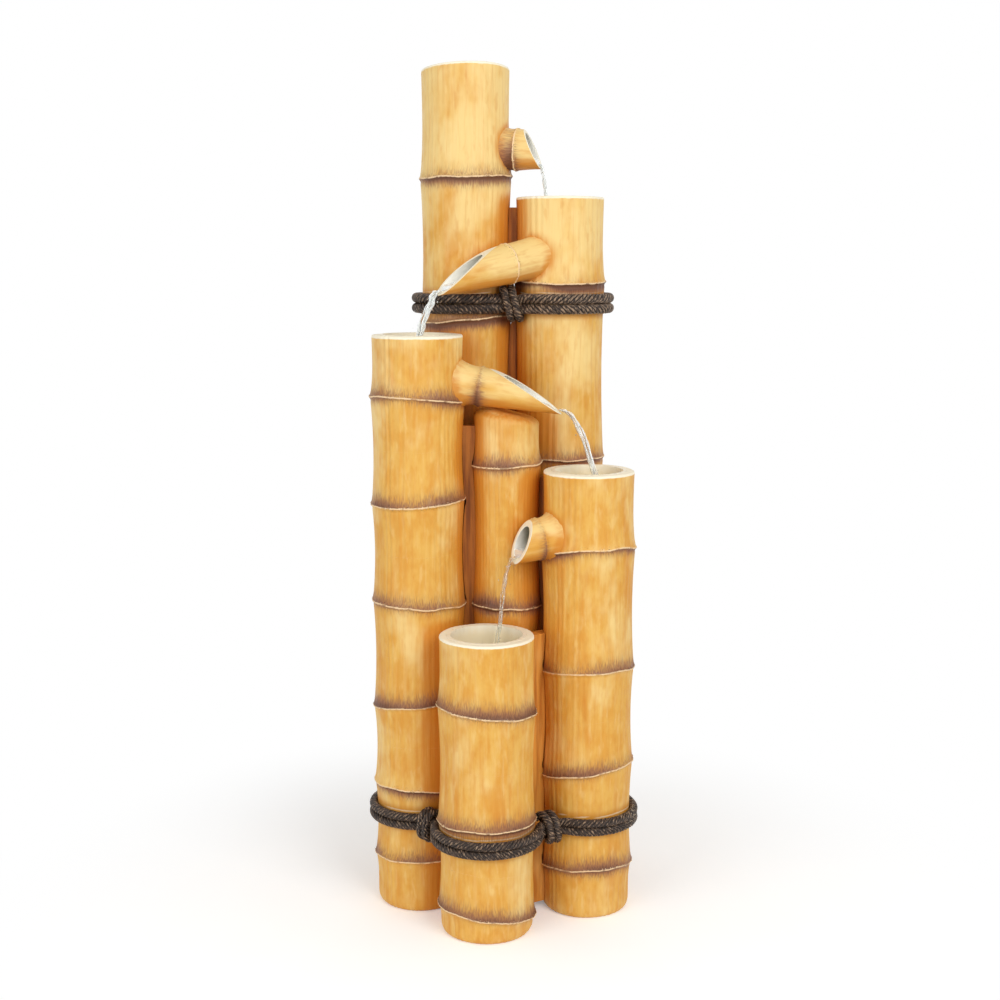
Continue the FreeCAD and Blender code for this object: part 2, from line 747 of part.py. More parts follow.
dial_back = strainer_front + dial_face_gap
dial = pump_bar(dial_radius, dial_back, dial_back + dial_depth)
dial = dial.fuse(pump_bar(dial_stub_radius, strainer_front - strainer_wall, dial_back))
grip = pump_box(dial_back, dial_back + dial_depth + dial_grip_depth, dial_grip_width / 2, dial_radius)
dial = dial.fuse(grip.common(pump_bar(dial_radius, dial_back, dial_back + dial_depth + dial_grip_depth)))
export("flow_dial", dial.removeSplitter())

feet = []
for x in (pump_back + pump_foot_inset, pump_front - pump_foot_inset):
    for y in (pump_foot_inset - pump_width / 2, pump_width / 2 - pump_foot_inset):
        spot = header.at(foot_thickness) + V(x, y, 0)
        feet.append(Part.makeCylinder(pump_foot_radius, pump_foot_height, spot))
export("suction_feet", feet)

# Riser hose with its clamps, and the fitting that it feeds in the header cup
hose_inner = outlet_radius + hose_clearance
hose_outer = hose_inner + hose_wall
hose_low = outlet_top - hose_overlap
nut_low = header.ledge - fitting_nut_depth
hose_high = nut_low - fitting_tail_gap
export("riser_hose", ring(header, hose_low, hose_inner, hose_outer, hose_high - hose_low, outlet_offset))
clamps = []
for height in (hose_low + (hose_overlap - clamp_width) / 2, hose_high - (hose_overlap + clamp_width) / 2):
    inner = hose_outer + clamp_clearance
    band = ring(header, height, inner, inner + clamp_thickness, clamp_width, outlet_offset)
    lug = Part.makeBox(clamp_lug, clamp_lug, clamp_width,
                       header.at(height) + V(outlet_offset - clamp_lug / 2, inner + clamp_thickness / 2, 0))
    clamps.append(band.fuse(lug).removeSplitter())
export("hose_clamps", clamps)

seal_top = header.floor + fitting_seal_depth
tail_low = hose_high - fitting_tail_length
fitting = stand(header, tail_low, outlet_radius, nut_low - tail_low, outlet_offset)
fitting = fitting.fuse(stand(header, nut_low, fitting_thread_radius, seal_top - nut_low, outlet_offset))
fitting = fitting.fuse(stand(header, seal_top, fitting_flange_radius, fitting_flange_depth, outlet_offset))
fitting_bore = stand(header, tail_low, outlet_bore_radius, header.height - tail_low, outlet_offset)
export("header_fitting", fitting.removeSplitter().cut(fitting_bore))
export("fitting_seal", ring(header, header.floor, thread_hole, fitting_flange_radius,
                            fitting_seal_depth, outlet_offset))
hexagon = [polar(60.0 * corner, fitting_nut_radius) for corner in range(6)]
nut = Part.Face(Part.Wire(closed_lines(hexagon))).extrude(V(0, 0, fitting_nut_depth))
nut.translate(header.at(nut_low) + V(outlet_offset, 0, 0))
export("fitting_nut", nut.cut(stand(header, nut_low, thread_hole, fitting_nut_depth, outlet_offset)))


# Resin webs that close the crevices between neighbouring canes
def web(cane_a, cane_b, set_back):
    run = cane_b.place - cane_a.place
    top = min(cane_a.height, cane_b.height) - web_drop
    corner = V(0, set_back - web_thickness / 2, web_foot)
    block = Part.makeBox(run.Length, web_thickness, top - web_foot, corner)
    block.rotate(V(0, 0, 0), UP, math.degrees(math.atan2(run.y, run.x)))
    block.translate(cane_a.place)
    block = block.cut(cane_a.envelope(web_clearance)).cut(cane_b.envelope(web_clearance))
    for spout in spout_pairs.values():
        block = block.cut(spout.envelope())
    return block


web_pairs = {
    "web_header_second": (header, second, 0.0),
    "web_header_third": (header, third, 0.0),
    "web_third_filler": (third, filler, 0.0),
    "web_filler_fourth": (filler, fourth, filler_web_set_back),
    "web_second_fourth": (second, fourth, 0.0),
    "web_third_basin": (third, basin, 0.0),
    "web_basin_fourth": (basin, fourth, fourth.waist - basin_web_from_flank),
}
for name, (cane_a, cane_b, set_back) in web_pairs.items():
    export(name, web(cane_a, cane_b, set_back))


# Ropes and knots: tubes on smooth paths of straight runs and pairs of tangent arcs
def arc_from_tangent(start, corner, end):
    """The arc from start to end whose end tangents meet at corner, or a line if they are in line."""
    chord_middle = (start + end) * 0.5
    lean = corner - chord_middle
    half = (end - start).Length / 2
    if lean.Length < half * 1e-4:
        return Part.makeLine(start, end)
    sagitta = half * math.tan(math.atan2(lean.Length, half) / 2)
    return arc(start, chord_middle + lean * (sagitta / lean.Length), end)


def two_arcs(start, leave, end, arrive):
    run = end - start
    if run.getAngle(leave) < 1e-4 and run.getAngle(arrive) < 1e-4:
        return [Part.makeLine(start, end)]
    both = run.dot(leave + arrive)
    bend = 2 * (1 - leave.dot(arrive))
    if bend < 1e-9:
        reach = run.dot(run) / (4 * run.dot(arrive))
    else:
        reach = (math.sqrt(both * both + bend * run.dot(run)) - both) / bend
    first = start + leave * reach
    last = end - arrive * reach
    joint = (first + last) * 0.5
    return [arc_from_tangent(start, first, joint), arc_from_tangent(joint, last, end)]


def smooth_path(stations):
    edges = []
    for (start, leave), (end, arrive) in zip(stations, stations[1:]):
        edges += two_arcs(start, leave, end, arrive)
    return Part.Wire(edges)


def tube(path, first_tangent, radius):
    start = path.Edges[0].valueAt(path.Edges[0].FirstParameter)
    section = Part.Wire(Part.makeCircle(radius, start, first_tangent))
    pipe = Part.BRepOffsetAPI.MakePipeShell(path)
    pipe.add(section)
    pipe.build()
    pipe.makeSolid()
    return pipe.shape()


def print_least_gap(name, path, radius):
    step = radius / 2
    points = path.discretize(Distance=step)
    apart = int(2 * math.pi * radius / step)
    nearest = min((points[i] - points[j]).Length
                  for i in range(len(points)) for j in range(i + apart, len(points)))
    print(name, "least gap to itself", round(nearest - 2 * radius, 2), "mm")


class RopeLap:
    """One level lap round the canes, from the end of its last dip to the start of that dip."""

    def __init__(self, canes, dips, low, high, radius):
        self.stops = []
        self.dip_middles = {}
        rings = [(cane.place, cane.widest(low, high) + radius + rope_clearance) for cane in canes]
        links = [self.link(rings[i], rings[(i + 1) % len(rings)], i in dips) for i in range(len(rings))]
        for index, (centre, radius) in enumerate(rings):
            arrive = links[index - 1]["arrive"] - centre
            leave = links[index]["leave"] - centre
            self.follow(centre, radius, arrive, leave)
            if index in dips and index < len(rings) - 1:
                self.stops.append(links[index]["middle"])
            self.dip_middles[index] = links[index].get("middle")
        self.last = links[-1]

    def follow(self, centre, radius, arrive, leave):
        begin = math.atan2(arrive.y, arrive.x)
        sweep = (math.atan2(leave.y, leave.x) - begin) % (2 * math.pi)
        pieces = max(1, math.ceil(sweep / (math.pi / 2)))
        for piece in range(pieces + 1):
            out = polar(math.degrees(begin + sweep * piece / pieces))
            self.stops.append((centre + out * radius, V(-out.y, out.x, 0)))

    def link(self, ring_a, ring_b, dips):
        (place_a, radius_a), (place_b, radius_b) = ring_a, ring_b
        run = place_b - place_a
        if not dips:
            lean = (radius_a - radius_b) / run.Length
            along = run * (1.0 / run.Length)
            out = along * lean + V(along.y, -along.x, 0) * math.sqrt(1 - lean * lean)
            return {"leave": place_a + out * radius_a, "arrive": place_b + out * radius_b}
        hub = meet(place_a, radius_a + rope_dip_radius, place_b, radius_b + rope_dip_radius)
        to_a = place_a - hub
        to_b = place_b - hub
        to_a.normalize()
        to_b.normalize()
        inward = to_a + to_b
        inward.normalize()
        tangent = V(-inward.y, inward.x, 0)
        if tangent.dot(run) < 0:
            tangent = tangent * -1.0
        return {"leave": hub + to_a * rope_dip_radius, "arrive": hub + to_b * rope_dip_radius,
                "middle": (hub + inward * rope_dip_radius, tangent),
                "length": rope_dip_radius * to_a.getAngle(to_b)}


def rope(name, canes, dips, height, radius):
    pitch = 2 * radius + rope_strand_gap
    low = height - pitch / 2
    high = height + pitch / 2
    lap = RopeLap(canes, dips, low - radius, high + radius, radius)
    centre, tangent = lap.last["middle"]
    climb = tangent + UP * (2 * pitch / lap.last["length"])
    climb.normalize()
    stations = [(point + UP * low, way) for point, way in lap.stops]
    stations.append((centre + UP * height, climb))
    stations += [(point + UP * high, way) for point, way in lap.stops]
    path = smooth_path(stations)
    print_least_gap(name, path, radius)
    export(name, tube(path, stations[0][1], radius))
    return {index: spot for index, spot in lap.dip_middles.items() if spot}


def knot(name, spot, height, rope_radius):
    """A lashing wound round both strands of a rope, across them."""
    centre, along = spot
    centre = centre + UP * height
    out = V(along.y, -along.x, 0)
    straight = (2 * rope_radius + rope_strand_gap) / 2
    bend = rope_radius + knot_ease + knot_radius
    half_turn = math.pi * bend + 2 * straight
    advance = (2 * knot_radius + knot_strand_gap) / (2 * half_turn)
    stations = []
    travelled = -knot_half_turns * half_turn / 2
    for index in range(knot_half_turns):
        face = 1 if index % 2 == 0 else -1
        corners = [(0, straight + bend, 1, 0, 0), (bend, straight, 0, -1, math.pi * bend / 2),
                   (bend, -straight, 0, -1, 2 * straight), (0, -straight - bend, -1, 0, math.pi * bend / 2)]
        for position, (depth, rise, depth_way, rise_way, run) in enumerate(corners):
            travelled += run
            if position == 0 and index > 0:
                continue
            way = out * (depth_way * face) + UP * (rise_way * face) + along * advance
            way.normalize()
            beside = out * (depth * face) + UP * (rise * face)
            stations.append((centre + beside + along * (advance * travelled), way))
    path = smooth_path(stations)
    print_least_gap(name, path, knot_radius)
    export(name, tube(path, stations[0][1], knot_radius))


upper_rope_height = second_height - upper_rope_below_rim
lower_ring = [fourth, second, header, third, basin]
upper_knots = rope("upper_rope", [second, header], [1], upper_rope_height, upper_rope_radius)
lower_knots = rope("lower_rope", lower_ring, [3, 4], lower_rope_height, lower_rope_radius)
knot("upper_knot", upper_knots[1], upper_rope_height, upper_rope_radius)
knot("lower_left_knot", lower_knots[3], lower_rope_height, lower_rope_radius)
knot("lower_right_knot", lower_knots[4], lower_rope_height, lower_rope_radius)
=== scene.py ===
# %% [markdown]
# This lesson dresses a cascade fountain: a bundle of bamboo canes, cast in resin and painted by hand,
# with water that steps down from cane to cane. The packed model comes first, because every piece is set
# against its nodes.

# %% Load the packed fountain
import json
import math

import bpy
import numpy as np
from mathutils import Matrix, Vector


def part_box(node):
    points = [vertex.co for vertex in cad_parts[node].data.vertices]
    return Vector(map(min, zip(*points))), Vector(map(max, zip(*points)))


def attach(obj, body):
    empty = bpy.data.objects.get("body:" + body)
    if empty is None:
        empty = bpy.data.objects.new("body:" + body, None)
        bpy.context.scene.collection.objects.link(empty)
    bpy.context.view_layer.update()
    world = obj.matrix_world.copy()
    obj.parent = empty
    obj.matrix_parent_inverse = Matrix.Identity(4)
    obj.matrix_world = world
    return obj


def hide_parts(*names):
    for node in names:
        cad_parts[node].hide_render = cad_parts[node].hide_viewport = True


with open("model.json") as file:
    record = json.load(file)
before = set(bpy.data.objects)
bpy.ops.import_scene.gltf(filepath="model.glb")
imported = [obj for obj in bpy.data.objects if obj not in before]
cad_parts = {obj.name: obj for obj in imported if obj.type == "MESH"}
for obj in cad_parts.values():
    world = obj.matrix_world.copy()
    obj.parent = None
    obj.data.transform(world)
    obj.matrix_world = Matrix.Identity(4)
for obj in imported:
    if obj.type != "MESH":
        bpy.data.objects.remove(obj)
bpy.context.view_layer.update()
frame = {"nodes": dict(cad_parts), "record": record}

MM = 0.001
UP = Vector((0, 0, 1))
FOUNTAIN = "fountain"

# %% [markdown]
# The camera stands where the photograph was taken: a little above the middle, looking slightly down.
# Its height and tilt were found from the rims, whose ellipses grow rounder the lower a cane is. A long
# lens could be guessed by eye, but ellipses leave no choice.

# %% Camera
CAMERA_PLACE = (-0.009, -2.126, 0.937)
CAMERA_TILT = 9.24
FOCAL_PIXELS = 1506
IMAGE_PIXELS = 1000
SENSOR_MM = 36


def link(thing):
    bpy.context.scene.collection.objects.link(thing)
    return thing


def set_camera():
    lens = bpy.data.cameras.new("photo_camera")
    lens.sensor_width = SENSOR_MM
    lens.lens = FOCAL_PIXELS / IMAGE_PIXELS * SENSOR_MM
    camera = link(bpy.data.objects.new("photo_camera", lens))
    camera.location = CAMERA_PLACE
    camera.rotation_euler = (math.radians(90 - CAMERA_TILT), 0, 0)
    bpy.context.scene.camera = camera
    print("lens", round(lens.lens, 1), "mm")


set_camera()
bpy.context.scene.view_settings.view_transform = "Standard"

# %% [markdown]
# A finish is a material built from a few strokes: noises, ramps and mixes. The nodes could be placed by
# hand each time, but the same strokes come back in every finish, so one small class writes them. Each
# stroke returns a socket that the next stroke can take.


# %% Brushes for the finishes
def srgb(red, green, blue):
    """A colour as a painter's chart gives it, 0 to 255, in the linear values that shaders take."""
    shares = [value / 255 for value in (red, green, blue)]
    linear = [s / 12.92 if s <= 0.04045 else ((s + 0.055) / 1.055) ** 2.4 for s in shares]
    return (*linear, 1.0)


class Finish:
    def __init__(self, name, **sockets):
        self.material = bpy.data.materials.new(name)
        self.material.use_nodes = True
        self.nodes = self.material.node_tree.nodes
        self.wires = self.material.node_tree.links
        self.surface = self.nodes["Principled BSDF"]
        self.output = self.nodes["Material Output"]
        for socket, value in sockets.items():
            self.surface.inputs[socket.replace("_", " ")].default_value = value

    def feed(self, socket, value):
        if isinstance(value, bpy.types.NodeSocket):
            self.wires.new(value, socket)
        else:
            socket.default_value = value

    def node(self, kind, inputs=(), **settings):
        made = self.nodes.new("ShaderNode" + kind)
        for setting, value in settings.items():
            setattr(made, setting, value)
        for index, value in inputs:
            self.feed(made.inputs[index], value)
        return made

    def attribute(self, name, output="Fac"):
        return self.node("Attribute", attribute_name=name).outputs[output]

    def place(self):
        return self.node("NewGeometry").outputs["Position"]

    def own_place(self):
        """The place on the piece itself, so that the pattern moves with it."""
        return self.node("TexCoord").outputs["Object"]

    def height(self):
        return self.node("SeparateXYZ", [(0, self.place())]).outputs["Z"]

    def stretched(self, place, scale):
        return self.node("VectorMath", [(0, place), (1, scale)], operation="MULTIPLY").outputs[0]

    def noise(self, place, scale, detail=3.0, roughness=0.5):
        inputs = [("Vector", self.stretched(place, scale)), ("Scale", 1.0), ("Detail", detail),
                  ("Roughness", roughness)]
        return self.node("TexNoise", inputs).outputs["Fac"]

    def ramp(self, value, low, high, to_low=0.0, to_high=1.0):
        inputs = [(0, value), (1, low), (2, high), (3, to_low), (4, to_high)]
        return self.node("MapRange", inputs, interpolation_type="SMOOTHSTEP").outputs[0]

    def math(self, operation, *values):
        return self.node("Math", enumerate(values), operation=operation).outputs[0]

    def mix(self, share, under, over, blend="MIX"):
        made = self.node("Mix", data_type="RGBA", blend_type=blend, clamp_factor=True)
        for name, value in (("Factor_Float", share), ("A_Color", under), ("B_Color", over)):
            socket = next(s for s in made.inputs if s.identifier == name)
            self.feed(socket, value)
        return next(s for s in made.outputs if s.identifier == "Result_Color")

    def wash(self, under, over, value, low, high, most=1.0):
        """Lays a colour over another as a value goes from low to high, in the end by the share most."""
        return self.mix(self.ramp(value, low, high, 0.0, most), under, over)

    def bump(self, height, depth, strength=1.0):
        made = self.node("Bump", [("Height", height), ("Distance", depth), ("Strength", strength)])
        self.wires.new(made.outputs["Normal"], self.surface.inputs["Normal"])

    def colour(self, value):
        self.feed(self.surface.inputs["Base Color"], value)

    def roughness(self, value):
        self.feed(self.surface.inputs["Roughness"], value)


print("strokes", [name for name in vars(Finish) if not name.startswith("_")])

# %% [markdown]
# The studio is a pale floor in even light. The world is dimmer for the object than for the eye: what
# the camera, glossy and clear surfaces see of it is white, and what lights the object is a plain level.
# Two wide lamps in front model the canes gently, the right one stronger, as in the photograph. A
# picture of a real studio could light the scene, but plain lamps are easier to place and to change.

# %% Studio
WORLD_LEVEL = 0.55
FLOOR_SIDE = 2.4
FLOOR_FADE = (0.3, 0.8)
FLOOR_LIFT = 0.22
LAMPS = {
    "key_lamp": {"place": (1.3, -2.1, 1.9), "aim": (0.0, 0.0, 0.6), "side": 1.5, "power": 33.0},
    "fill_lamp": {"place": (-1.7, -1.9, 1.2), "aim": (0.0, 0.0, 0.5), "side": 1.6, "power": 18.0},
}


def seen_directly(nodes, wires):
    """1 for rays that show the surroundings as they are: camera, glossy and transmission rays."""
    path = nodes.new("ShaderNodeLightPath")
    total = path.outputs["Is Camera Ray"]
    for kind in ("Is Glossy Ray", "Is Transmission Ray"):
        either = nodes.new("ShaderNodeMath")
        either.operation = "MAXIMUM"
        wires.new(total, either.inputs[0])
        wires.new(path.outputs[kind], either.inputs[1])
        total = either.outputs[0]
    return total


def light_world():
    world = bpy.data.worlds.new("studio")
    bpy.context.scene.world = world
    world.use_nodes = True
    nodes = world.node_tree.nodes
    wires = world.node_tree.links
    strength = nodes.new("ShaderNodeMapRange")
    strength.inputs["To Min"].default_value = WORLD_LEVEL
    strength.inputs["To Max"].default_value = 1.0
    wires.new(seen_directly(nodes, wires), strength.inputs["Value"])
    nodes["Background"].inputs["Color"].default_value = (1, 1, 1, 1)
    wires.new(strength.outputs["Result"], nodes["Background"].inputs["Strength"])


def set_lamp(name, place, aim, side, power):
    lamp = bpy.data.lights.new(name, "AREA")
    lamp.shape = "SQUARE"
    lamp.size = side
    lamp.energy = power
    holder = link(bpy.data.objects.new(name, lamp))
    holder.location = place
    holder.rotation_euler = (Vector(aim) - Vector(place)).to_track_quat("-Z", "Y").to_euler()


def lay_floor():
    half = FLOOR_SIDE / 2
    mesh = bpy.data.meshes.new("studio_floor")
    corners = [(-half, -half, 0), (half, -half, 0), (half, half, 0), (-half, half, 0)]
    mesh.from_pydata(corners, [], [(0, 1, 2, 3)])
    floor = link(bpy.data.objects.new("studio_floor", mesh))
    finish = Finish("floor_paper", Roughness=0.9, Specular_IOR_Level=0.1)
    speckle = finish.noise(finish.place(), (9, 9, 9))
    finish.colour(finish.mix(speckle, srgb(250, 250, 249), srgb(254, 254, 253)))
    from_middle = finish.node("VectorMath", [(0, finish.place())], operation="LENGTH").outputs["Value"]
    seen = seen_directly(finish.nodes, finish.wires)
    fade = finish.math("MULTIPLY", finish.ramp(from_middle, *FLOOR_FADE), seen)
    lift = finish.node("Emission", [("Strength", finish.math("MULTIPLY", seen, FLOOR_LIFT))])
    paper = finish.node("AddShader", [(0, finish.surface.outputs[0]), (1, lift.outputs[0])])
    glow = finish.node("Emission")
    blend = finish.node("MixShader", [(0, fade), (1, paper.outputs[0]), (2, glow.outputs[0])])
    finish.wires.new(blend.outputs[0], finish.output.inputs["Surface"])
    mesh.materials.append(finish.material)


light_world()
for lamp_name, settings in LAMPS.items():
    set_lamp(lamp_name, **settings)
lay_floor()
print("lamps", list(LAMPS))

# %% [markdown]
# Bamboo paint covers canes and spouts. The real paint is a straw-gold ground with fibres drawn along
# the grain, a burnt band at each node and a thin cream line on its ridge; orange-brown painted shade is
# laid into the crevices. A picture could be wrapped round each cane, but a pattern built from noise has
# no seam and stays sharp close up. Each mesh carries named values that say where the paint changes: the
# grain, the paling and painted highlight, the crevices' painted shade, the rope bed, burn, ridge, cream
# and pool. The ground comes first, and the painted shade of the crevices is laid over it in three washes.

# %% Straw ground and crevices
STRAW = srgb(232, 180, 86)
HONEY = srgb(225, 163, 66)
PALE_STRAW = srgb(246, 214, 142)
AMBER = srgb(214, 136, 40)
CREVICE_SHADE_BROWN = srgb(198, 117, 28)
DEEP_SHADE_BROWN = srgb(148, 80, 20)


def straw_ground(finish, grain, streak):
    """Straw gold, mottled like watercolour, paler high up, with soft streaks along the grain."""
    cloud = finish.noise(grain, (16, 16, 10), 3, 0.6)
    blotch = finish.noise(grain, (46, 46, 26), 3, 0.6)
    stroke = finish.noise(grain, (120, 120, 34), 3)
    band = finish.noise(grain, (30, 30, 4), 2)
    # Paler higher up, and paler on the tops of spouts as a painted highlight.
    paler = finish.math("MULTIPLY_ADD", finish.attribute("bleach"), 0.22, cloud)
    colour = finish.wash(HONEY, STRAW, blotch, 0.36, 0.64)
    colour = finish.wash(colour, AMBER, band, 0.54, 0.74, 0.6)
    colour = finish.wash(colour, PALE_STRAW, paler, 0.48, 0.76, 0.9)
    colour = finish.wash(colour, PALE_STRAW, stroke, 0.54, 0.74, 0.35)
    colour = finish.wash(colour, AMBER, stroke, 0.46, 0.28, 0.3)
    colour = finish.wash(colour, AMBER, streak, 0.5, 0.74, 0.26)
    return finish.wash(colour, PALE_STRAW, streak, 0.5, 0.28, 0.22)


def shade_crevices(finish, colour, streak):
    """Three washes of painted shade, each darker and narrower, whose edges the streaks make ragged."""
    crevice = finish.attribute("crevice")
    ragged = finish.math("MULTIPLY_ADD", streak, 0.5, -0.25)
    shade = finish.math("MULTIPLY_ADD", ragged, finish.ramp(crevice, 0.02, 0.3), crevice)
    colour = finish.wash(colour, AMBER, shade, 0.01, 0.36, 0.85)
    colour = finish.wash(colour, CREVICE_SHADE_BROWN, shade, 0.42, 0.92, 0.95)
    return finish.wash(colour, DEEP_SHADE_BROWN, shade, 0.84, 1.2, 0.85)


print("straw in linear light", [round(value, 2) for value in STRAW[:3]])

# %% [markdown]
# Next come the marks of a node. A flame scorches real bamboo there, and on the casting a brown that is
# combed along the grain imitates it. The ridge has a thin worn line, with ticks and pits in patches
# beside it. Where a rope is bedded in the cane the paint has run into an orange glow. Rims and mouths
# are glazed cream, and a channel darkens into painted shade towards its pool. Masks could be painted
# for all of this, but values on the mesh follow every tilted ridge by themselves.

# %% Nodes, rope beds and mouths
BURNT = srgb(142, 92, 66)
BURNT_DARK = srgb(92, 54, 40)
RIDGE_CREAM = srgb(247, 214, 168)
CREAM = srgb(255, 246, 220)
POOL_PALE = srgb(253, 250, 238)
POOL_SHADE = srgb(122, 116, 84)
LINE_WAVER = 1.3 * MM
LINE_HALF = (1.4 * MM, 0.5 * MM)
TICK_LENGTH = 2.4 * MM
PIT_REACH = (7 * MM, 2 * MM)
BED_GLOW = (11 * MM, 1 * MM)
BED_LINE = (1.7 * MM, 0.8 * MM)


def scorch_nodes(finish, colour, hair):
    burn = finish.attribute("burn")
    hairs = finish.ramp(hair, 0.38, 0.66, -0.13, 0.12)
    scorched = finish.math("MULTIPLY_ADD", hairs, finish.ramp(burn, 0.04, 0.45), burn)
    colour = finish.wash(colour, BURNT, scorched, 0.05, 0.8, 0.9)
    return finish.wash(colour, BURNT_DARK, scorched, 0.65, 1.15, 0.75)


def draw_ridges(finish, colour, grain, hair, wear):
    """A thin broken line on each ridge, with combed ticks and dark pits in patches beside it."""
    patch = finish.noise(grain, (28, 28, 28), 2)
    pit = finish.noise(grain, (520, 520, 520), 2)
    waver = finish.math("MULTIPLY_ADD", wear, 2 * LINE_WAVER, -LINE_WAVER)
    from_line = finish.math("ABSOLUTE", finish.math("ADD", finish.attribute("ridge"), waver))
    longest = finish.ramp(patch, 0.46, 0.62, 0.0, TICK_LENGTH)
    tick = finish.math("MULTIPLY", finish.ramp(hair, 0.56, 0.72), longest)
    line = finish.ramp(finish.math("SUBTRACT", from_line, tick), *LINE_HALF)
    line = finish.math("MULTIPLY", line, finish.ramp(wear, 0.36, 0.52, 0.3, 1.0))
    pits = finish.math("MULTIPLY", finish.ramp(pit, 0.58, 0.68), finish.ramp(from_line, *PIT_REACH))
    pits = finish.math("MULTIPLY", pits, finish.ramp(patch, 0.44, 0.6, 0.0, 0.85))
    return finish.mix(line, finish.mix(pits, colour, BURNT_DARK), RIDGE_CREAM)


def bed_the_rope(finish, colour):
    """An orange glow and a cream line where the rope is bedded in the cane."""
    from_bed = finish.attribute("bed")
    colour = finish.wash(colour, AMBER, from_bed, *BED_GLOW, 0.65)
    return finish.wash(colour, RIDGE_CREAM, from_bed, *BED_LINE, 0.85)


def glaze_mouths(finish, colour, wear):
    lip = finish.math("ADD", finish.attribute("cream"), finish.math("MULTIPLY_ADD", wear, 0.5, -0.25))
    colour = finish.wash(colour, CREAM, lip, 0.22, 0.6)
    pool = finish.attribute("pool")
    # The channel darkens into painted shade towards its pool.
    channel_shade = finish.math("MULTIPLY_ADD", wear, 0.3, pool)
    return finish.wash(colour, finish.wash(POOL_PALE, POOL_SHADE, channel_shade, 0.55, 1.25), pool, 0.0, 0.15)


print("burnt brown in linear light", [round(value, 2) for value in BURNT[:3]])

# %% [markdown]
# The whole paint takes the layers in the order in which a painter lays them: ground, fibres, crevices,
# rope beds, burns, ridges and last the mouths. The sheen and a shallow combed relief come from the same
# noises, so that light and colour agree. Each piece could have its own material, but one paint that
# reads values from the mesh keeps all canes and spouts alike.

# %% Bamboo paint
COMB_DEPTH = 0.6 * MM


def bamboo_paint():
    finish = Finish("bamboo_paint", Specular_IOR_Level=0.35)
    grain = finish.attribute("grain", "Vector")
    streak = finish.noise(grain, (170, 170, 10), 4, 0.55)
    fibre = finish.noise(grain, (560, 560, 20), 3)
    hair = finish.noise(grain, (800, 800, 70), 2)
    wear = finish.noise(grain, (95, 95, 75), 4, 0.6)
    colour = straw_ground(finish, grain, streak)
    colour = finish.wash(colour, AMBER, fibre, 0.52, 0.8, 0.18)
    colour = shade_crevices(finish, colour, streak)
    colour = bed_the_rope(finish, colour)
    colour = scorch_nodes(finish, colour, hair)
    colour = draw_ridges(finish, colour, grain, hair, wear)
    finish.colour(glaze_mouths(finish, colour, wear))
    finish.roughness(finish.ramp(wear, 0.3, 0.7, 0.40, 0.58))
    combed = finish.math("MULTIPLY_ADD", hair, finish.attribute("burn"), finish.math("ADD", fibre, streak))
    finish.bump(combed, COMB_DEPTH, 0.5)
    return finish.material


BAMBOO = bamboo_paint()
print("finish", BAMBOO.name)

# %% [markdown]
# Nothing on the casting is quite straight: ridges, rims, collars and strands all wander a little. A
# noise texture could displace them, but a line round a cane has to close on itself. A sum of whole
# waves does, and a seed of its own for each line gives the same line every time.


# %% A line that wanders
def wander(angle, seed, slowest, fastest):
    """A ragged line that closes on itself after a full turn, mostly between -1 and 1."""
    draw = np.random.default_rng(seed)
    line = np.zeros_like(angle)
    for waves in range(slowest, fastest + 1):
        line = line + draw.uniform(0.5, 1.0) * np.sin(waves * angle + draw.uniform(0, 2 * math.pi))
    return line / math.sqrt(fastest - slowest + 1)


trial = wander(np.linspace(0, 2 * math.pi, 360), 1, 2, 9)
print("a wandering line lies between", round(trial.min(), 2), "and", round(trial.max(), 2))

# %% [markdown]
# A cane is a turned shell, but no cane is truly round: its ridges tilt and wander, its fibres stand out
# and its waist swells. It could be turned with a screw modifier and then displaced. Here the rings are
# computed, so that the mesh lines follow each tilted ridge and the ridge stays a crisp lip. The cane's
# height, waist and ridges are measured on the packed node; the tilt of each ridge and rim (left, front,
# right, in millimetres) and how burnt each ridge is above and below are read off the photograph.

# %% Canes measured on the packed model
NODE_SWELL = 3.5 * MM
RIM_SWELL = 1.0 * MM
BEAD = 1.5 * MM
CANE_WALL = 12.5 * MM
RIM_WALL = 9.5 * MM
RIDGE_GROUP = 20 * MM
RIDGE_WANDER = 0.9 * MM
RIM_WAVE = 0.5 * MM
LEVEL = (0, 0, 0)
CANE_RIDGES = {
    "header": {"tilt": [LEVEL, LEVEL, LEVEL, LEVEL, (-4, 2, 7), (1, 2, 4)], "rim": (-2, 5, 1),
               "above": [0.6, 0.8, 0.5, 0.8, 0.6, 0.5], "below": [0.7, 0.4, 0.8, 0.4, 1.6, 1.6]},
    "second": {"tilt": [LEVEL, LEVEL, (2, 0, 2), (0, 0, 0), (7, 0, 4)],
               "above": [0.7, 0.5, 0.8, 0.6, 0.25], "below": [0.4, 0.8, 0.4, 0.9, 1.9]},
    "third": {"tilt": [(-8, -2, -8), (-5, -4, -12), (-13, -1, 0), (2, 0, -4), (-2, 0, 6), (-2, -1, -11)],
              "above": [0.85, 0.15, 1.0, 0.75, 0.85, 0.65], "below": [0.3, 1.0, 0.15, 0.6, 0.2, 0.7]},
    "fourth": {"tilt": [(-12, -3, -9), (-15, -1, 5), (-11, -2, -5), (-14, 2, -5)],
               "above": [0.9, 0.75, 0.8, 0.12], "below": [0.9, 0.35, 0.2, 0.9]},
    "basin": {"tilt": [(5, 2, -13), (-1, 3, 0), (7, 3, -5)],
              "above": [1.0, 0.8, 0.95], "below": [0.35, 1.0, 0.4]},
    "filler": {"tilt": [LEVEL, LEVEL, (-1, -2, -5), (-2, -1, 2)], "rim": (12, 6, 0),
               "above": [0.8, 0.8, 1.0, 1.0], "below": [0.6, 0.6, 1.0, 0.8]},
}


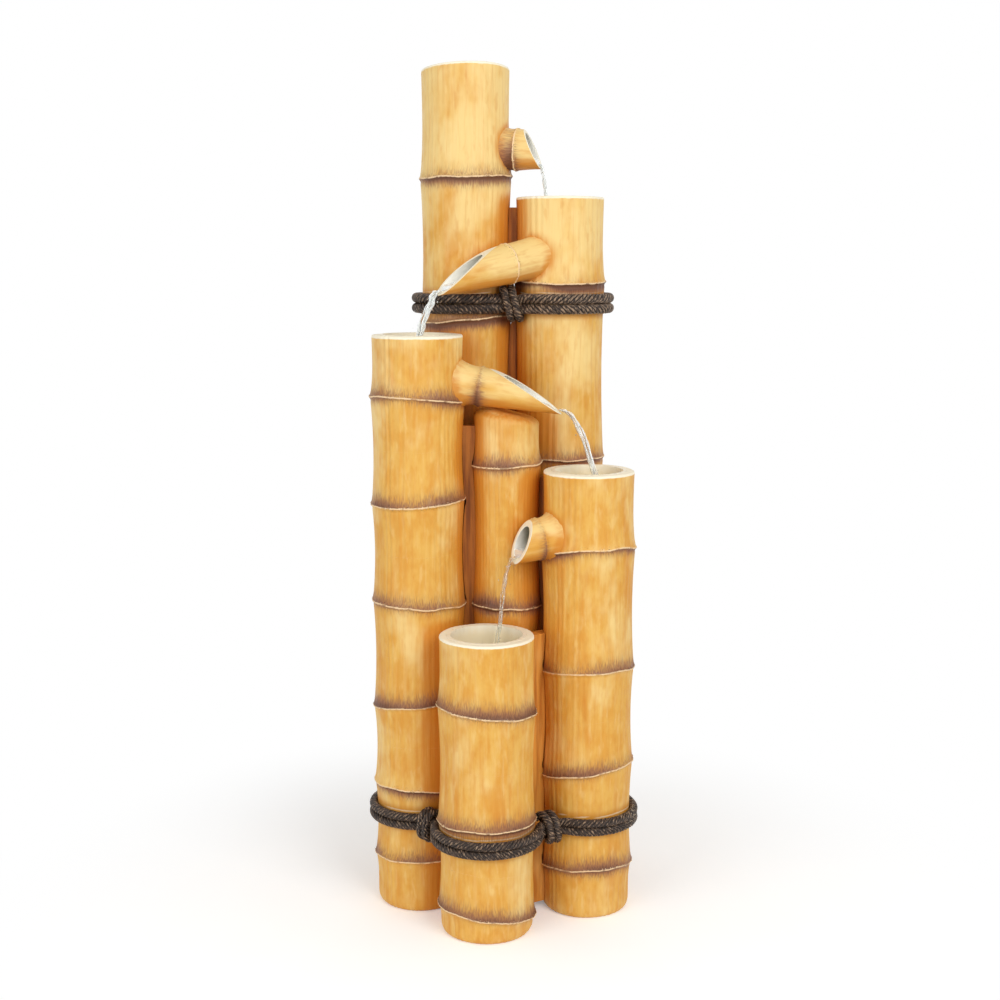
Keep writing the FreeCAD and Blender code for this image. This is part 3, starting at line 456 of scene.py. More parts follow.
class Cane:
    def __init__(self, name, seed, tilt, above, below, rim=LEVEL):
        node = name + "_cane"
        low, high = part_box(node)
        self.name = name
        self.seed = seed
        self.x, self.y = (low.x + high.x) / 2, (low.y + high.y) / 2
        self.height = high.z
        self.reach = (high.x - low.x) / 2
        self.waist = self.reach - BEAD - NODE_SWELL
        self.inner = self.waist - CANE_WALL
        self.bore = self.waist - RIM_WALL
        self.tilt, self.above, self.below, self.rim = tilt, above, below, rim
        self.ridges = self.find_ridges(node)

    def find_ridges(self, node):
        points = np.array([vertex.co for vertex in frame["nodes"][node].data.vertices])
        reach = np.hypot(points[:, 0] - self.x, points[:, 1] - self.y)
        heights = np.sort(points[reach > self.reach - BEAD / 2, 2])
        groups = np.split(heights, np.where(np.diff(heights) > RIDGE_GROUP)[0] + 1)
        return [float(group.min() + group.max()) / 2 for group in groups]

    def tilted(self, lifts, angle):
        """A plane tilted so that it passes through three lifts, at the left, the front and the right."""
        left, front, right = (lift * MM for lift in lifts)
        level = (left + right) / 2
        return level + (right - left) / 2 * np.cos(angle) + (level - front) * np.sin(angle)

    def ridge_line(self, index, angle):
        tilted = self.tilted(self.tilt[index], angle)
        return self.ridges[index] + tilted + RIDGE_WANDER * wander(angle, self.seed * 31 + index, 2, 9)

    def rim_line(self, angle):
        return self.height - RIM_WAVE + self.tilted(self.rim, angle)

    def swelling(self, height):
        """How far the smooth surface stands out from the waist: most at a ridge, little at the rim."""
        ends = np.array([0.0] + self.ridges + [self.height])
        index = np.clip(np.searchsorted(ends, height, side="right") - 1, 0, len(ends) - 2)
        share = (height - ends[index]) / (ends[index + 1] - ends[index])
        down = np.where(index > 0, NODE_SWELL, 0.0) * np.maximum(0, 1 - 2 * share) ** 2
        rise = np.where(index < len(self.ridges), NODE_SWELL, RIM_SWELL)
        return down + rise * np.maximum(0, 2 * share - 1) ** 2

    def radius_at(self, height):
        return self.waist + self.swelling(np.asarray(height, float))


canes = {name: Cane(name, seed, **marks) for seed, (name, marks) in enumerate(CANE_RIDGES.items(), 1)}
for cane in canes.values():
    print(cane.name, "height", round(cane.height, 3), "ridges", [round(z, 3) for z in cane.ridges])

# %% [markdown]
# A skin joins rings of points into a closed mesh, and several such sheets can share one mesh, like the
# strands of a rope. Blender's operators could bridge the rings, but writing the faces as a table of
# point numbers is quicker and always gives the same result.


# %% Skins and painted values
def sheet(rings, first_pole=None, last_pole=None, joined=False):
    """Points and faces over equal rings, closed by poles at the ends or from the last ring to the first."""
    rows, columns = rings.shape[:2]
    points = rings.reshape(-1, 3).tolist()
    index = np.arange(rows * columns).reshape(rows, columns)
    if joined:
        index = np.vstack([index, index[:1]])
    beside = np.roll(index, -1, axis=1)
    faces = np.stack([index[:-1], beside[:-1], beside[1:], index[1:]], axis=-1).reshape(-1, 4).tolist()
    if first_pole is not None:
        points.append(tuple(first_pole))
        faces += [(len(points) - 1, int(b), int(a)) for a, b in zip(index[0], beside[0])]
    if last_pole is not None:
        points.append(tuple(last_pole))
        faces += [(len(points) - 1, int(a), int(b)) for a, b in zip(index[-1], beside[-1])]
    return points, faces


def skin(name, *sheets):
    points, faces = [], []
    for sheet_points, sheet_faces in sheets:
        faces += [tuple(corner + len(points) for corner in face) for face in sheet_faces]
        points += sheet_points
    mesh = bpy.data.meshes.new(name)
    mesh.from_pydata(points, [], faces)
    mesh.shade_smooth()
    return link(bpy.data.objects.new(name, mesh))


def points_of(piece):
    places = np.empty(len(piece.data.vertices) * 3, np.float32)
    piece.data.vertices.foreach_get("co", places)
    return places.reshape(-1, 3).astype(float)


def paint(piece, name, values):
    values = np.asarray(values, np.float32)
    kind, field = ("FLOAT", "value") if values.ndim == 1 else ("FLOAT_VECTOR", "vector")
    layer = piece.data.attributes.new(name, kind, "POINT")
    layer.data.foreach_set(field, values.ravel())


def smooth(value, low, high):
    share = np.clip((value - low) / (high - low), 0, 1)
    return share * share * (3 - 2 * share)


SHARP_ANGLE = math.radians(50)


def dress(piece, finish, body, slot, *nodes):
    """Gives a piece its finish and body and hides the packed nodes it stands for; the slot is not used."""
    piece.data.materials.append(finish)
    piece.data.set_sharp_from_angle(angle=SHARP_ANGLE)
    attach(piece, body)
    if nodes:
        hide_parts(*nodes)
    return piece


print("edges are sharp past", round(math.degrees(SHARP_ANGLE)), "degrees")

# %% [markdown]
# Now the cane's own rings. Near a ridge they lie close together, elsewhere a few millimetres apart. An
# even fine mesh could be used, but most of its faces would lie on smooth wall. Each ring is lifted with
# the ridges that it lies between, so that no mesh line cuts across a ridge.

# %% Rings of a cane
COLUMNS = 180
RING_STEP = 3.6 * MM
OFF_RIDGE = [0.8, 1.5, 2.2, 3, 3.9, 5, 6.4, 8.3, 10.5, 13]
NEAR_RIDGE = [-off for off in reversed(OFF_RIDGE)] + [0] + OFF_RIDGE
RIDGE_CLEAR = 15 * MM
FOOT_EDGE = (7 * MM, 12 * MM)
angles = np.linspace(-math.pi, math.pi, COLUMNS, endpoint=False)


def ring_levels(cane, top):
    plain = np.arange(FOOT_EDGE[1], top, RING_STEP)
    nearest = np.min(np.abs(plain[:, None] - np.array(cane.ridges)[None, :]), axis=1)
    close = [ridge + MM * off for ridge in cane.ridges for off in NEAR_RIDGE]
    return np.sort(np.concatenate([plain[nearest > RIDGE_CLEAR], close, [top]]))


def lifted(cane, levels):
    """The levels' heights in each column, carried along by the tilted ridges between which they lie."""
    ends = [0.0] + cane.ridges + [cane.height]
    shares = np.stack([np.interp(levels, ends, row) for row in np.eye(len(ends))], axis=1)
    lifts = np.zeros((len(ends), COLUMNS))
    for index, ridge in enumerate(cane.ridges):
        lifts[index + 1] = cane.ridge_line(index, angles) - ridge
    lifts[-1] = cane.tilted(cane.rim, angles)
    return levels[:, None] + shares @ lifts


print("rings", {name: len(ring_levels(cane, cane.height)) for name, cane in canes.items()})

# %% [markdown]
# Relief is added to each ring's radius: the ridge's ragged lip with a groove under it, slow lumps, and
# fine fibres like those of real bamboo. It could be sculpted by hand, but sums of waves are even from
# cane to cane and close on themselves after a full turn, so there is no seam.

# %% Ridges, lumps and fibres
LIP_HEIGHT = 1.5 * MM
LIP_WIDTH = 1.7 * MM
SHOULDER = 0.9 * MM
SHOULDER_WIDTH = 6.5 * MM
GROOVE = 0.8 * MM
GROOVE_WIDTH = 2.4 * MM
GROOVE_BELOW = 4.6 * MM
LUMPS = 0.55 * MM
LUMP_WAVES = range(2, 7)
LUMP_DRIFT = 9.0
FIBRES = 0.10 * MM
FIBRE_WAVES = range(34, 62)
FIBRE_DRIFT = 2.5


def relief(cane, levels):
    """Slow lumps and fine fibres that drift round the cane with height."""
    draw = np.random.default_rng(cane.seed * 97)
    field = np.zeros((len(levels), COLUMNS))
    lumps = [(waves, LUMPS / 3, LUMP_DRIFT) for waves in LUMP_WAVES]
    fibres = [(waves, FIBRES, FIBRE_DRIFT) for waves in FIBRE_WAVES]
    for waves, depth, drift in lumps + fibres:
        phase = draw.uniform(0, 2 * math.pi)
        lean = draw.normal(0, drift)
        weight = draw.uniform(0.3, 1)
        field += depth * weight * np.sin(waves * angles[None, :] + lean * levels[:, None] + phase)
    return field


def ridge_profile(cane, levels):
    """A ragged lip on each ridge, a low shoulder about it and a groove under it."""
    field = np.zeros((len(levels), COLUMNS))
    for index, ridge in enumerate(cane.ridges):
        off = (levels - ridge)[:, None]
        ragged = 0.8 + 0.3 * wander(angles, cane.seed * 53 + index, 13, 60)[None, :]
        field += LIP_HEIGHT * np.exp(-((off / LIP_WIDTH) ** 2)) * np.clip(ragged, 0.25, 1.3)
        field += SHOULDER * np.exp(-((off / SHOULDER_WIDTH) ** 2))
        field -= GROOVE * np.exp(-(((off + GROOVE_BELOW) / GROOVE_WIDTH) ** 2))
    return field


basin_ridges = ridge_profile(canes["basin"], np.array(canes["basin"].ridges))
print("the basin's ridges stand out up to", round(basin_ridges.max() / MM, 1), "mm")

# %% [markdown]
# With rings and relief at hand the shells can be turned. The outside is rounded at the foot and over
# the rim. The inside is plain: bore, a ledge for the cup, and floor. The filler cane is closed by a low
# dome, because a spout lies over it. A modifier could give a single sheet its thickness, but a closed
# skin can be cut cleanly later.

# %% Cane shells
FOOT_DEPTH = 10 * MM
RIM_EDGE = (2.6 * MM, 2.6 * MM)
FILLER_DOME = (30 * MM, 14 * MM)
ROUND_STEPS = 8


def place_rings(cane, radii, heights):
    return np.stack([cane.x + radii * np.cos(angles), cane.y + radii * np.sin(angles), heights], axis=-1)


def even_ring(cane, radius, height):
    return place_rings(cane, np.full((1, COLUMNS), radius), np.full((1, COLUMNS), height))


def outside_rings(cane, top_edge):
    """Rings from the foot's rounded edge up the wall and over the top's, rounded inwards and downwards."""
    inwards, downwards = top_edge
    levels = ring_levels(cane, cane.height - RIM_WAVE - downwards)
    radii = cane.radius_at(levels)[:, None] + ridge_profile(cane, levels) + relief(cane, levels)
    wave = 0.4 * RIM_WAVE * wander(angles, cane.seed * 71, 2, 11)[None, :]
    foot, top = [], []
    for step in range(ROUND_STEPS):
        turn = math.pi / 2 * step / ROUND_STEPS
        low = np.full((1, COLUMNS), FOOT_EDGE[1] * (1 - math.cos(turn)))
        foot.append(place_rings(cane, radii[:1] - FOOT_EDGE[0] * (1 - math.sin(turn)), low))
        turn += math.pi / 2 / ROUND_STEPS
        high = cane.rim_line(angles) - downwards * (1 - math.sin(turn)) + wave
        top.append(place_rings(cane, radii[-1:] - inwards * (1 - math.cos(turn)), high))
    return np.concatenate(foot + [place_rings(cane, radii, lifted(cane, levels))] + top)


def pool_cane(cane):
    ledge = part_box(cane.name + "_cup")[0].z
    rim = cane.rim_line(angles)
    inside = [even_ring(cane, cane.waist - 0.6 * RIM_WALL, rim), even_ring(cane, cane.bore, rim),
              even_ring(cane, cane.bore, ledge), even_ring(cane, cane.inner, ledge),
              even_ring(cane, cane.inner, FOOT_DEPTH)]
    rings = np.concatenate([outside_rings(cane, RIM_EDGE)] + inside)
    return skin(cane.name + "_cane_shell", sheet(rings, (cane.x, cane.y, 0), (cane.x, cane.y, FOOT_DEPTH)))


def filler_shell(cane):
    rings = outside_rings(cane, FILLER_DOME)
    crown = cane.rim_line(angles).mean() + RIM_WAVE
    return skin("filler_cane_shell", sheet(rings, (cane.x, cane.y, 0), (cane.x, cane.y, crown)))


shells = {name: filler_shell(cane) if name == "filler" else pool_cane(cane) for name, cane in canes.items()}
print("shells", {name: len(shell.data.polygons) for name, shell in shells.items()})

# %% [markdown]
# Spouts are branch stubs: a flared root that grows out of the cane, a collar, and a tube cut on a slant
# so that its mouth opens upwards. Their main sizes repeat those of the packed spouts, and their places
# follow from the canes. The roll and bow of each mouth, its wall and the flare of the root were read
# off the photograph. A tube could be cut with a boolean, but each line along the tube can simply stop
# where it meets the slant, which gives a clean edge all round.

# %% Spouts set out from the canes
COLLAR_HALF = 6 * MM
CUP_CLEARANCE = 0.3 * MM
CUP_WALL = 4.5 * MM
HOLE_CLEARANCE = 0.3 * MM
SEARCH_ROUNDS = 30
SPOUT_SIZES = {
    "header": {"drop": 113, "slope": 3.0, "swing": -10.0, "shift": 0, "setback": 24, "root": 29, "tip": 26,
               "stub": 1, "lip": 4, "roll": 0, "bow": 1.0, "wall": 5, "flare": 2.5},
    "second": {"drop": 88, "slope": 11.0, "swing": 5.0, "shift": 12.5, "setback": 11, "root": 28, "tip": 20,
               "stub": 23.5, "lip": 1, "roll": 4, "bow": 1.5, "wall": 5, "flare": 2},
    "third": {"drop": 68, "slope": 9.0, "swing": -0.5, "shift": 0, "setback": 35, "root": 27, "tip": 20,
              "stub": 10.7, "lip": 4, "roll": 3, "bow": 1.25, "wall": 5, "flare": 7},
    "fourth": {"drop": 91, "slope": 8.0, "swing": -6.8, "shift": 0, "setback": 46, "root": 29, "tip": 27,
               "stub": 1, "lip": 1, "roll": 7, "bow": 1.1, "wall": 8, "flare": 7},
}
CASCADE = ["header", "second", "third", "fourth", "basin"]


class Spout:
    def __init__(self, name, target, drop, slope, swing, shift, setback, root, tip, stub, lip, roll,
                 bow, wall, flare):
        source = canes[name]
        run = Vector((target.x - source.x, target.y - source.y, 0))
        slope = math.radians(slope)
        bearing = math.atan2(run.y, run.x) + math.radians(swing)
        level = Vector((math.cos(bearing), math.sin(bearing), 0))
        self.name, self.source, self.target = name, source, target
        self.along = level * math.cos(slope) - UP * math.sin(slope)
        self.rise = level * math.sin(slope) + UP * math.cos(slope)
        self.side = self.along.cross(self.rise)
        self.roll, self.bow = math.radians(roll), bow
        self.root, self.tip = root * MM, tip * MM
        self.wall, self.flare = wall * MM, flare * MM
        self.start = Vector((source.x, source.y, source.height - drop * MM + source.waist * math.tan(slope)))
        self.start -= self.side * shift * MM
        clear = source.reach + self.root * math.sin(slope) + stub * MM
        self.collar = clear / math.cos(slope) + COLLAR_HALF
        self.neck = self.collar + COLLAR_HALF
        self.mouth = self.neck + lip * MM
        self.end = (run.length - setback * MM) / math.cos(slope)

    def radius_at(self, distance):
        share = np.clip((distance - self.neck) / (self.end - self.neck), 0, 1)
        return self.root + (self.tip - self.root) * share

    def points(self, distance, radius, turn):
        """Points at a distance along the axis, a radius from it and a turn from the top."""
        off = radius[..., None] * (np.cos(turn)[..., None] * np.array(self.rise)
                                   + np.sin(turn)[..., None] * np.array(self.side))
        return np.array(self.start) + distance[..., None] * np.array(self.along) + off

    def meets(self, radius, turn, cane_radius):
        """How far along each line of the tube passes out of a round wall of the source cane."""
        near, far = np.zeros_like(turn), np.full_like(turn, self.collar)
        for _ in range(SEARCH_ROUNDS):
            middle = (near + far) / 2
            place = self.points(middle, np.broadcast_to(radius, turn.shape), turn)
            reach = np.hypot(place[:, 0] - self.source.x, place[:, 1] - self.source.y)
            outside = reach > cane_radius(place[:, 2])
            far = np.where(outside, middle, far)
            near = np.where(outside, near, middle)
        return near

    def slant(self, turn, wall):
        """How far along each line of the tube, outer or inner, reaches the slanting cut."""
        top = self.radius_at(self.mouth)
        distance = np.full_like(turn, self.neck)
        for _ in range(SEARCH_ROUNDS):
            lift = (self.radius_at(distance) - wall) * np.cos(turn - self.roll)
            fallen = np.clip((top - lift) / (top + self.tip), 0, 1)
            distance = self.mouth + fallen ** (1 / self.bow) * (self.end - self.mouth)
        return distance


spouts = {}
for name, lower in zip(CASCADE, CASCADE[1:]):
    spout = Spout(name, canes[lower], **SPOUT_SIZES[name])
    spouts[name] = spout
    print(name, "spout, from collar to tip", round(spout.end - spout.collar, 3), "m")

# %% [markdown]
# The rings of a spout run from the pool through the cane's wall, out over the flare that hides the
# joint, along the tube to the cut, over the cut face and back along the channel. Each row of points
# keeps the kind of surface that it lies on, because the paint will ask for it. A bevelled curve could
# be the tube, but its root would not follow the cane's round wall.

# %% Spout skins
TURNS = 96
FLARE_STEPS = 9
FLARE_SINK = 2.0 * MM
FLARE_CURVE = 2.3
COLLAR_PROUD = 1.8 * MM
COLLAR_WIDTH = 2.6 * MM
COLLAR_DRIFT = 1.1 * MM
COLLAR_STEPS = 15
TUBE_STEPS = 16
KNOBBLY = 0.35 * MM
EDGE_ROUND = 0.9 * MM
FACE_SHARES = (0.12, 0.35, 0.65, 0.88)
CHANNEL_STEPS = 12
turns = np.linspace(0, 2 * math.pi, TURNS, endpoint=False)


def cup_inner(cane):
    """The radius of the cup's wall round the pool."""
    return cane.bore - CUP_CLEARANCE - CUP_WALL


def root_rows(spout, pool_wall):
    """From the pool through the cane's wall and out over the flare."""
    wall = spout.source.radius_at
    flat = np.full(TURNS, spout.root)
    rows = [(spout.meets(spout.root, turns, pool_wall), flat, "hidden")]
    rows.append((spout.meets(spout.root, turns, wall) - FLARE_SINK, flat, "hidden"))
    foot = spout.meets(spout.root + spout.flare, turns, wall)
    for step in range(FLARE_STEPS):
        share = step / FLARE_STEPS
        distance = foot - FLARE_SINK * (1 - share) + (spout.collar - COLLAR_HALF - foot) * share
        rows.append((distance, flat + spout.flare * (1 - share) ** FLARE_CURVE, "root"))
    return rows


def collar_rows(spout, seed):
    """A proud and ragged ring, like a small node."""
    ragged = wander(turns, seed * 17, 2, 7)
    notched = np.clip(0.85 + 0.35 * wander(turns, seed * 19, 9, 33), 0.2, 1.3)
    rows = []
    for step in range(COLLAR_STEPS):
        off = COLLAR_HALF * (2 * step / (COLLAR_STEPS - 1) - 1)
        proud = COLLAR_PROUD * math.exp(-((off / COLLAR_WIDTH) ** 2)) * notched
        drift = COLLAR_DRIFT * ragged * (1 - (off / COLLAR_HALF) ** 2)
        rows.append((spout.collar + off + drift, spout.root + proud, "collar"))
    return rows


def mouth_rows(spout, seed, pool_wall):
    """Along the tube to the slanting cut, over its face and back along the channel."""
    outer_cut = spout.slant(turns, 0.0)
    inner_cut = spout.slant(turns, spout.wall)
    knobbly = KNOBBLY * wander(turns, seed * 23, 2, 5)
    rows = []
    for step in range(1, TUBE_STEPS + 1):
        share = step / TUBE_STEPS
        distance = spout.neck + (outer_cut - EDGE_ROUND - spout.neck) * share
        rows.append((distance, spout.radius_at(distance) + knobbly * math.sin(math.pi * share), "tube"))
    for share in FACE_SHARES:
        distance = outer_cut + (inner_cut - outer_cut) * share
        rows.append((distance, spout.radius_at(distance) - spout.wall * share, "face"))
    back = spout.meets(spout.root - spout.wall, turns, pool_wall)
    for step in range(CHANNEL_STEPS + 1):
        share = step / CHANNEL_STEPS
        distance = (inner_cut - EDGE_ROUND) * (1 - share) + back * share
        rows.append((distance, spout.radius_at(distance) - spout.wall, "channel"))
    return rows


def spout_rows(spout, seed):
    """Rows of distances along the axis and radii about it, each with its kind of surface."""
    def pool_wall(heights):
        return np.full_like(heights, cup_inner(spout.source))

    return root_rows(spout, pool_wall) + collar_rows(spout, seed) + mouth_rows(spout, seed, pool_wall)


def spout_skin(spout, rows):
    rings = np.stack([spout.points(distance, radius, turns) for distance, radius, _ in rows])
    return skin(spout.name + "_spout_stub", sheet(rings, joined=True))


print("rows of the header's spout", len(spout_rows(spouts["header"], 1)))

# %% [markdown]
# The stubs are painted as the canes are: grain along the tube, a burnt band about the collar with its
# cream ridge, a cream cut face, painted shade round the root and under the tube, and a channel that
# darkens into painted shade towards the pool. The canes' own functions could be stretched to do it, but
# a spout measures along its own axis, so it has a function of its own.

# %% Painted spouts
SPOUT_PAINT = {
    "header": {"root": 1.0, "root_reach": 30 * MM, "tube": 0.6, "line": True, "dark": (0.3, 1.1)},
    "second": {"root": 0.25, "root_reach": 6 * MM, "tube": 0.2, "line": True, "dark": (0.5, 1.2)},
    "third": {"root": 0.9, "root_reach": 9 * MM, "tube": 0.9, "line": False, "dark": (0.5, 1.2)},
    "fourth": {"root": 0.45, "root_reach": 6 * MM, "tube": 0.75, "line": False, "dark": (0.3, 1.0)},
}
TUBE_REACH = 9 * MM
STUB_BURN = 1.5
TOP_HIGHLIGHT = 1.8
ROOT_SHADE_SHARE = 0.5
ROOT_FADE = 14 * MM
UNDER_SHADE_SHARE = 0.46
GRAIN_SHIFT = 3.7
FAR_OFF = 1.0
PALER_BETWEEN = (0.62, 0.95)
HEADER_PALER_BETWEEN = (0.8, 1.12)


def bleaching(cane, heights):
    """Paler the higher a point lies, the header's paling beginning highest."""
    return smooth(heights, *(HEADER_PALER_BETWEEN if cane.name == "header" else PALER_BETWEEN))


def paint_spout(piece, spout, rows, seed):
    marks = SPOUT_PAINT[spout.name]
    places = points_of(piece)
    local = places - np.array(spout.start)
    axes = np.array([spout.side, spout.rise, spout.along])
    kind = np.repeat([surface for _, _, surface in rows], TURNS)
    off = np.concatenate([distance for distance, _, _ in rows]) - spout.collar
    outside = np.isin(kind, ("root", "collar", "tube"))
    up = local @ np.array(spout.rise) / spout.root
    under = np.clip(0.6 - 0.5 * up, 0.3, 1.1)
    burn = np.where(off < 0, marks["root"] * np.exp(off / marks["root_reach"]),
                    marks["tube"] * np.exp(-off / TUBE_REACH))
    paint(piece, "burn", np.where(outside, STUB_BURN * burn * under, 0))
    paint(piece, "ridge", np.where(outside & marks["line"], off, FAR_OFF))
    paint(piece, "bed", np.full(len(places), FAR_OFF))
    paint(piece, "cream", np.where(kind == "face", 1.0, 0.0))
    depth = 1 - off / (spout.end - spout.collar)
    # A channel darkens into painted shade towards its pool.
    paint(piece, "pool", np.where(kind == "channel", 0.2 + 0.8 * smooth(depth, *marks["dark"]), 0))
    # The top of each spout is painted paler: a painted highlight.
    on_top = TOP_HIGHLIGHT * smooth(up, -0.2, 0.8)
    paint(piece, "bleach", np.maximum(bleaching(spout.source, places[:, 2]), on_top))
    paint(piece, "grain", local @ axes.T + GRAIN_SHIFT * seed)
    reach = np.hypot(places[:, 0] - spout.source.x, places[:, 1] - spout.source.y)
    rooted = 1 - smooth(reach - spout.source.radius_at(places[:, 2]), 0, ROOT_FADE)
    # Painted shade round the spout's root and along the underside of its tube.
    shaded = np.maximum(ROOT_SHADE_SHARE * rooted * under, UNDER_SHADE_SHARE * smooth(-up, 0.15, 0.95))
    paint(piece, "crevice", np.where(outside, shaded, 0))


stubs = {}
for seed, (name, spout) in enumerate(spouts.items(), 1):
    rows = spout_rows(spout, seed)
    stub = spout_skin(spout, rows)
    paint_spout(stub, spout, rows, seed)
    stubs[name] = dress(stub, BAMBOO, FOUNTAIN, "cane_resin", name + "_spout")
print("spout stubs", {name: len(stub.data.polygons) for name, stub in stubs.items()})

# %% [markdown]
# The canes need their holes: one for each spout, and in the header cane also the door's window, the
# cable grommet and the drain plug. The rings could be led round each hole, but booleans are right here,
# because the shells are closed and two simple cutters do for all: a round bar and a wedge of the cane's
# wall.

# %% Cutters
WALL_OUTSIDE = 12 * MM


def bar_cutter(start, along, radius, length, sides=64):
    """A closed round bar."""
    across = along.orthogonal().normalized()
    other = along.cross(across)
    turn = np.linspace(0, 2 * math.pi, sides, endpoint=False)[:, None]
    ring = radius * (np.cos(turn) * np.array(across) + np.sin(turn) * np.array(other))
    ends = [np.array(start), np.array(start + along * length)]
    return skin("cutter", sheet(np.stack([ring + ends[0], ring + ends[1]]), ends[0], ends[1]))


def sector_cutter(cane, low, high, from_angle, to_angle, steps=24):
    """A closed wedge of the cane's wall between two bearings and two heights."""
    bearings = np.radians(np.linspace(from_angle, to_angle, steps))
    near, far = cane.inner - WALL_OUTSIDE, cane.reach + WALL_OUTSIDE
    out = np.stack([np.cos(bearings), np.sin(bearings)], axis=1)
    outline = np.concatenate([out * far, out[::-1] * near]) + (cane.x, cane.y)
    rings = np.stack([np.column_stack([outline, np.full(len(outline), z)]) for z in (low, high)])
    points = rings.reshape(-1, 3).tolist()
    count = len(outline)
    faces = [(i, (i + 1) % count, count + (i + 1) % count, count + i) for i in range(count)]
    for level, flip in ((0, True), (count, False)):
        for i in range(steps - 1):
            quad = [level + i, level + i + 1, level + count - 2 - i, level + count - 1 - i]
            faces.append(tuple(quad[::-1] if flip else quad))
    mesh = bpy.data.meshes.new("cutter")
    mesh.from_pydata(points, [], faces)
    return link(bpy.data.objects.new("cutter", mesh))


def carve(piece, cutters, operation="DIFFERENCE"):
    for cutter in cutters:
        step = piece.modifiers.new("carve", "BOOLEAN")
        step.object = cutter
        step.operation = operation
        step.solver = "EXACT"
    bpy.context.view_layer.update()
    carved = bpy.data.meshes.new_from_object(piece.evaluated_get(bpy.context.evaluated_depsgraph_get()))
    piece.modifiers.clear()
    piece.data = carved
    for cutter in cutters:
        bpy.data.objects.remove(cutter)


print("cutters reach", round(WALL_OUTSIDE / MM), "mm past the wall")

# %% [markdown]
# The door leaf is the piece of wall that a wedge keeps from a copy of the header's shell. It could be
# modelled by itself, but then its ridges would not run on across the gap. The window is a little larger
# all round, which leaves the leaf room to swing.

# %% Holes and the door leaf
DOOR_BEARING = 90.0
DOOR_HALF_ANGLE = 36.0
DOOR_EDGE = 0.6 * MM
GROMMET_BODY = 9.2 * MM
PLUG_BODY = 8.4 * MM


def spout_hole(spout):
    return bar_cutter(spout.start, spout.along, spout.root + HOLE_CLEARANCE, spout.collar - COLLAR_HALF)


header = canes["header"]
door_low, door_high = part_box("access_door")
door_leaf = shells["header"].copy()
door_leaf.data = shells["header"].data.copy()
door_leaf.name = "door_leaf"
link(door_leaf)
edge_angle = math.degrees(DOOR_EDGE / header.inner)
carve(door_leaf, [sector_cutter(header, door_low.z, door_high.z, DOOR_BEARING - DOOR_HALF_ANGLE + edge_angle,
                                DOOR_BEARING + DOOR_HALF_ANGLE - edge_angle)], "INTERSECT")
grommet_z = sum(corner.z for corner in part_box("cable_grommet")) / 2
plug_z = sum(corner.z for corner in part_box("drain_plug")) / 2
back_way = Vector((0, 1, 0))
back_cutters = [
    sector_cutter(header, door_low.z - DOOR_EDGE, door_high.z + DOOR_EDGE,
                  DOOR_BEARING - DOOR_HALF_ANGLE, DOOR_BEARING + DOOR_HALF_ANGLE),
    bar_cutter(Vector((header.x, header.y, grommet_z)), back_way, GROMMET_BODY, header.reach + WALL_OUTSIDE),
    bar_cutter(Vector((header.x, header.y, plug_z)), back_way, PLUG_BODY, header.reach + WALL_OUTSIDE),
]
for name, spout in spouts.items():
    carve(shells[name], [spout_hole(spout)] + (back_cutters if name == "header" else []))
print("carved", {name: len(shell.data.polygons) for name, shell in shells.items()})
print("door leaf", len(door_leaf.data.polygons), "faces")

# %% [markdown]
# Shade is painted into the crevices: where canes stand close together, round the root of a spout and,
# as a painted shadow, behind a spout that passes. The renderer could find such places by occlusion, but
# then the paint would change with every pose. Here the distance to each neighbour is worked out once,
# and so is the distance to a rope that is bedded in the cane.

# %% Crevices and rope beds
CREVICE_REACH = 50 * MM
CREVICE_OVER_TOP = 18 * MM
CREVICE_CURVE = 1.6
FOURTH_CREVICE = 0.66
SHADE_CURVE = 1.4
PASSING_SHADE = 26 * MM
PASSING_DEPTH = 0.75
ROOT_SHADE = 16 * MM
ROOT_DEPTH = {"header": 0.4, "second": 0.36, "third": 0.6, "fourth": 0.6}
ROPE_BEDS = {"upper_rope": ("header", "second"), "lower_rope": ("third", "basin", "fourth")}
BED_SINK = 1.0 * MM
BED_WAVER = 0.8 * MM


def fading(away, reach, curve):
    """1 at a surface, falling to 0 at some reach from it."""
    return (1 - np.clip(away / reach, 0, 1)) ** curve


def nearness(cane, places):
    """0 in the open to 1 where another cane almost touches; spouts shade their cane and those they pass."""
    near = np.zeros(len(places))
    for other in canes.values():
        if other is cane:
            continue
        gap = np.hypot(places[:, 0] - other.x, places[:, 1] - other.y) - other.waist - NODE_SWELL
        beside = 1 - smooth(places[:, 2], other.height - CREVICE_OVER_TOP, other.height + CREVICE_OVER_TOP)
        near = np.maximum(near, fading(gap, CREVICE_REACH, CREVICE_CURVE) * beside)
    if cane.name == "fourth":
        near *= FOURTH_CREVICE
    for spout in spouts.values():
        local = places - np.array(spout.start)
        along = local @ np.array(spout.along)
        away = np.linalg.norm(local - along[:, None] * np.array(spout.along), axis=1) - spout.radius_at(along)
        if spout.source is cane:
            shade = ROOT_DEPTH[cane.name] * fading(away, ROOT_SHADE, SHADE_CURVE) * (along > 0)
        else:
            beside = (along > 0) * (1 - smooth(along, spout.end - PASSING_SHADE, spout.end))
            shade = PASSING_DEPTH * fading(away, PASSING_SHADE, SHADE_CURVE) * beside
        near = np.maximum(near, shade)
    return near


def rope_bed(cane, places, angle):
    """How far each point lies from the edge of the rope that is bedded in its cane."""
    away = np.full(len(places), FAR_OFF)
    waver = BED_WAVER * wander(angle, cane.seed, 2, 7)
    for rope, bedded in ROPE_BEDS.items():
        if cane.name in bedded:
            low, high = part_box(rope)
            over = places[:, 2] - high.z - BED_SINK + waver
            under = low.z - BED_SINK - places[:, 2] + waver
            away = np.minimum(np.abs(over), np.abs(under) + BED_SINK)
    return away


print("canes that the ropes are bedded in", ROPE_BEDS)

# %% [markdown]
# The rest of the paint's values are worked out for each point of a shell: how far it lies from the
# nearest ridge, how burnt that ridge is above and below, and whether the point is on the rim. They
# could be painted by hand, but would have to be painted again after every change of shape.

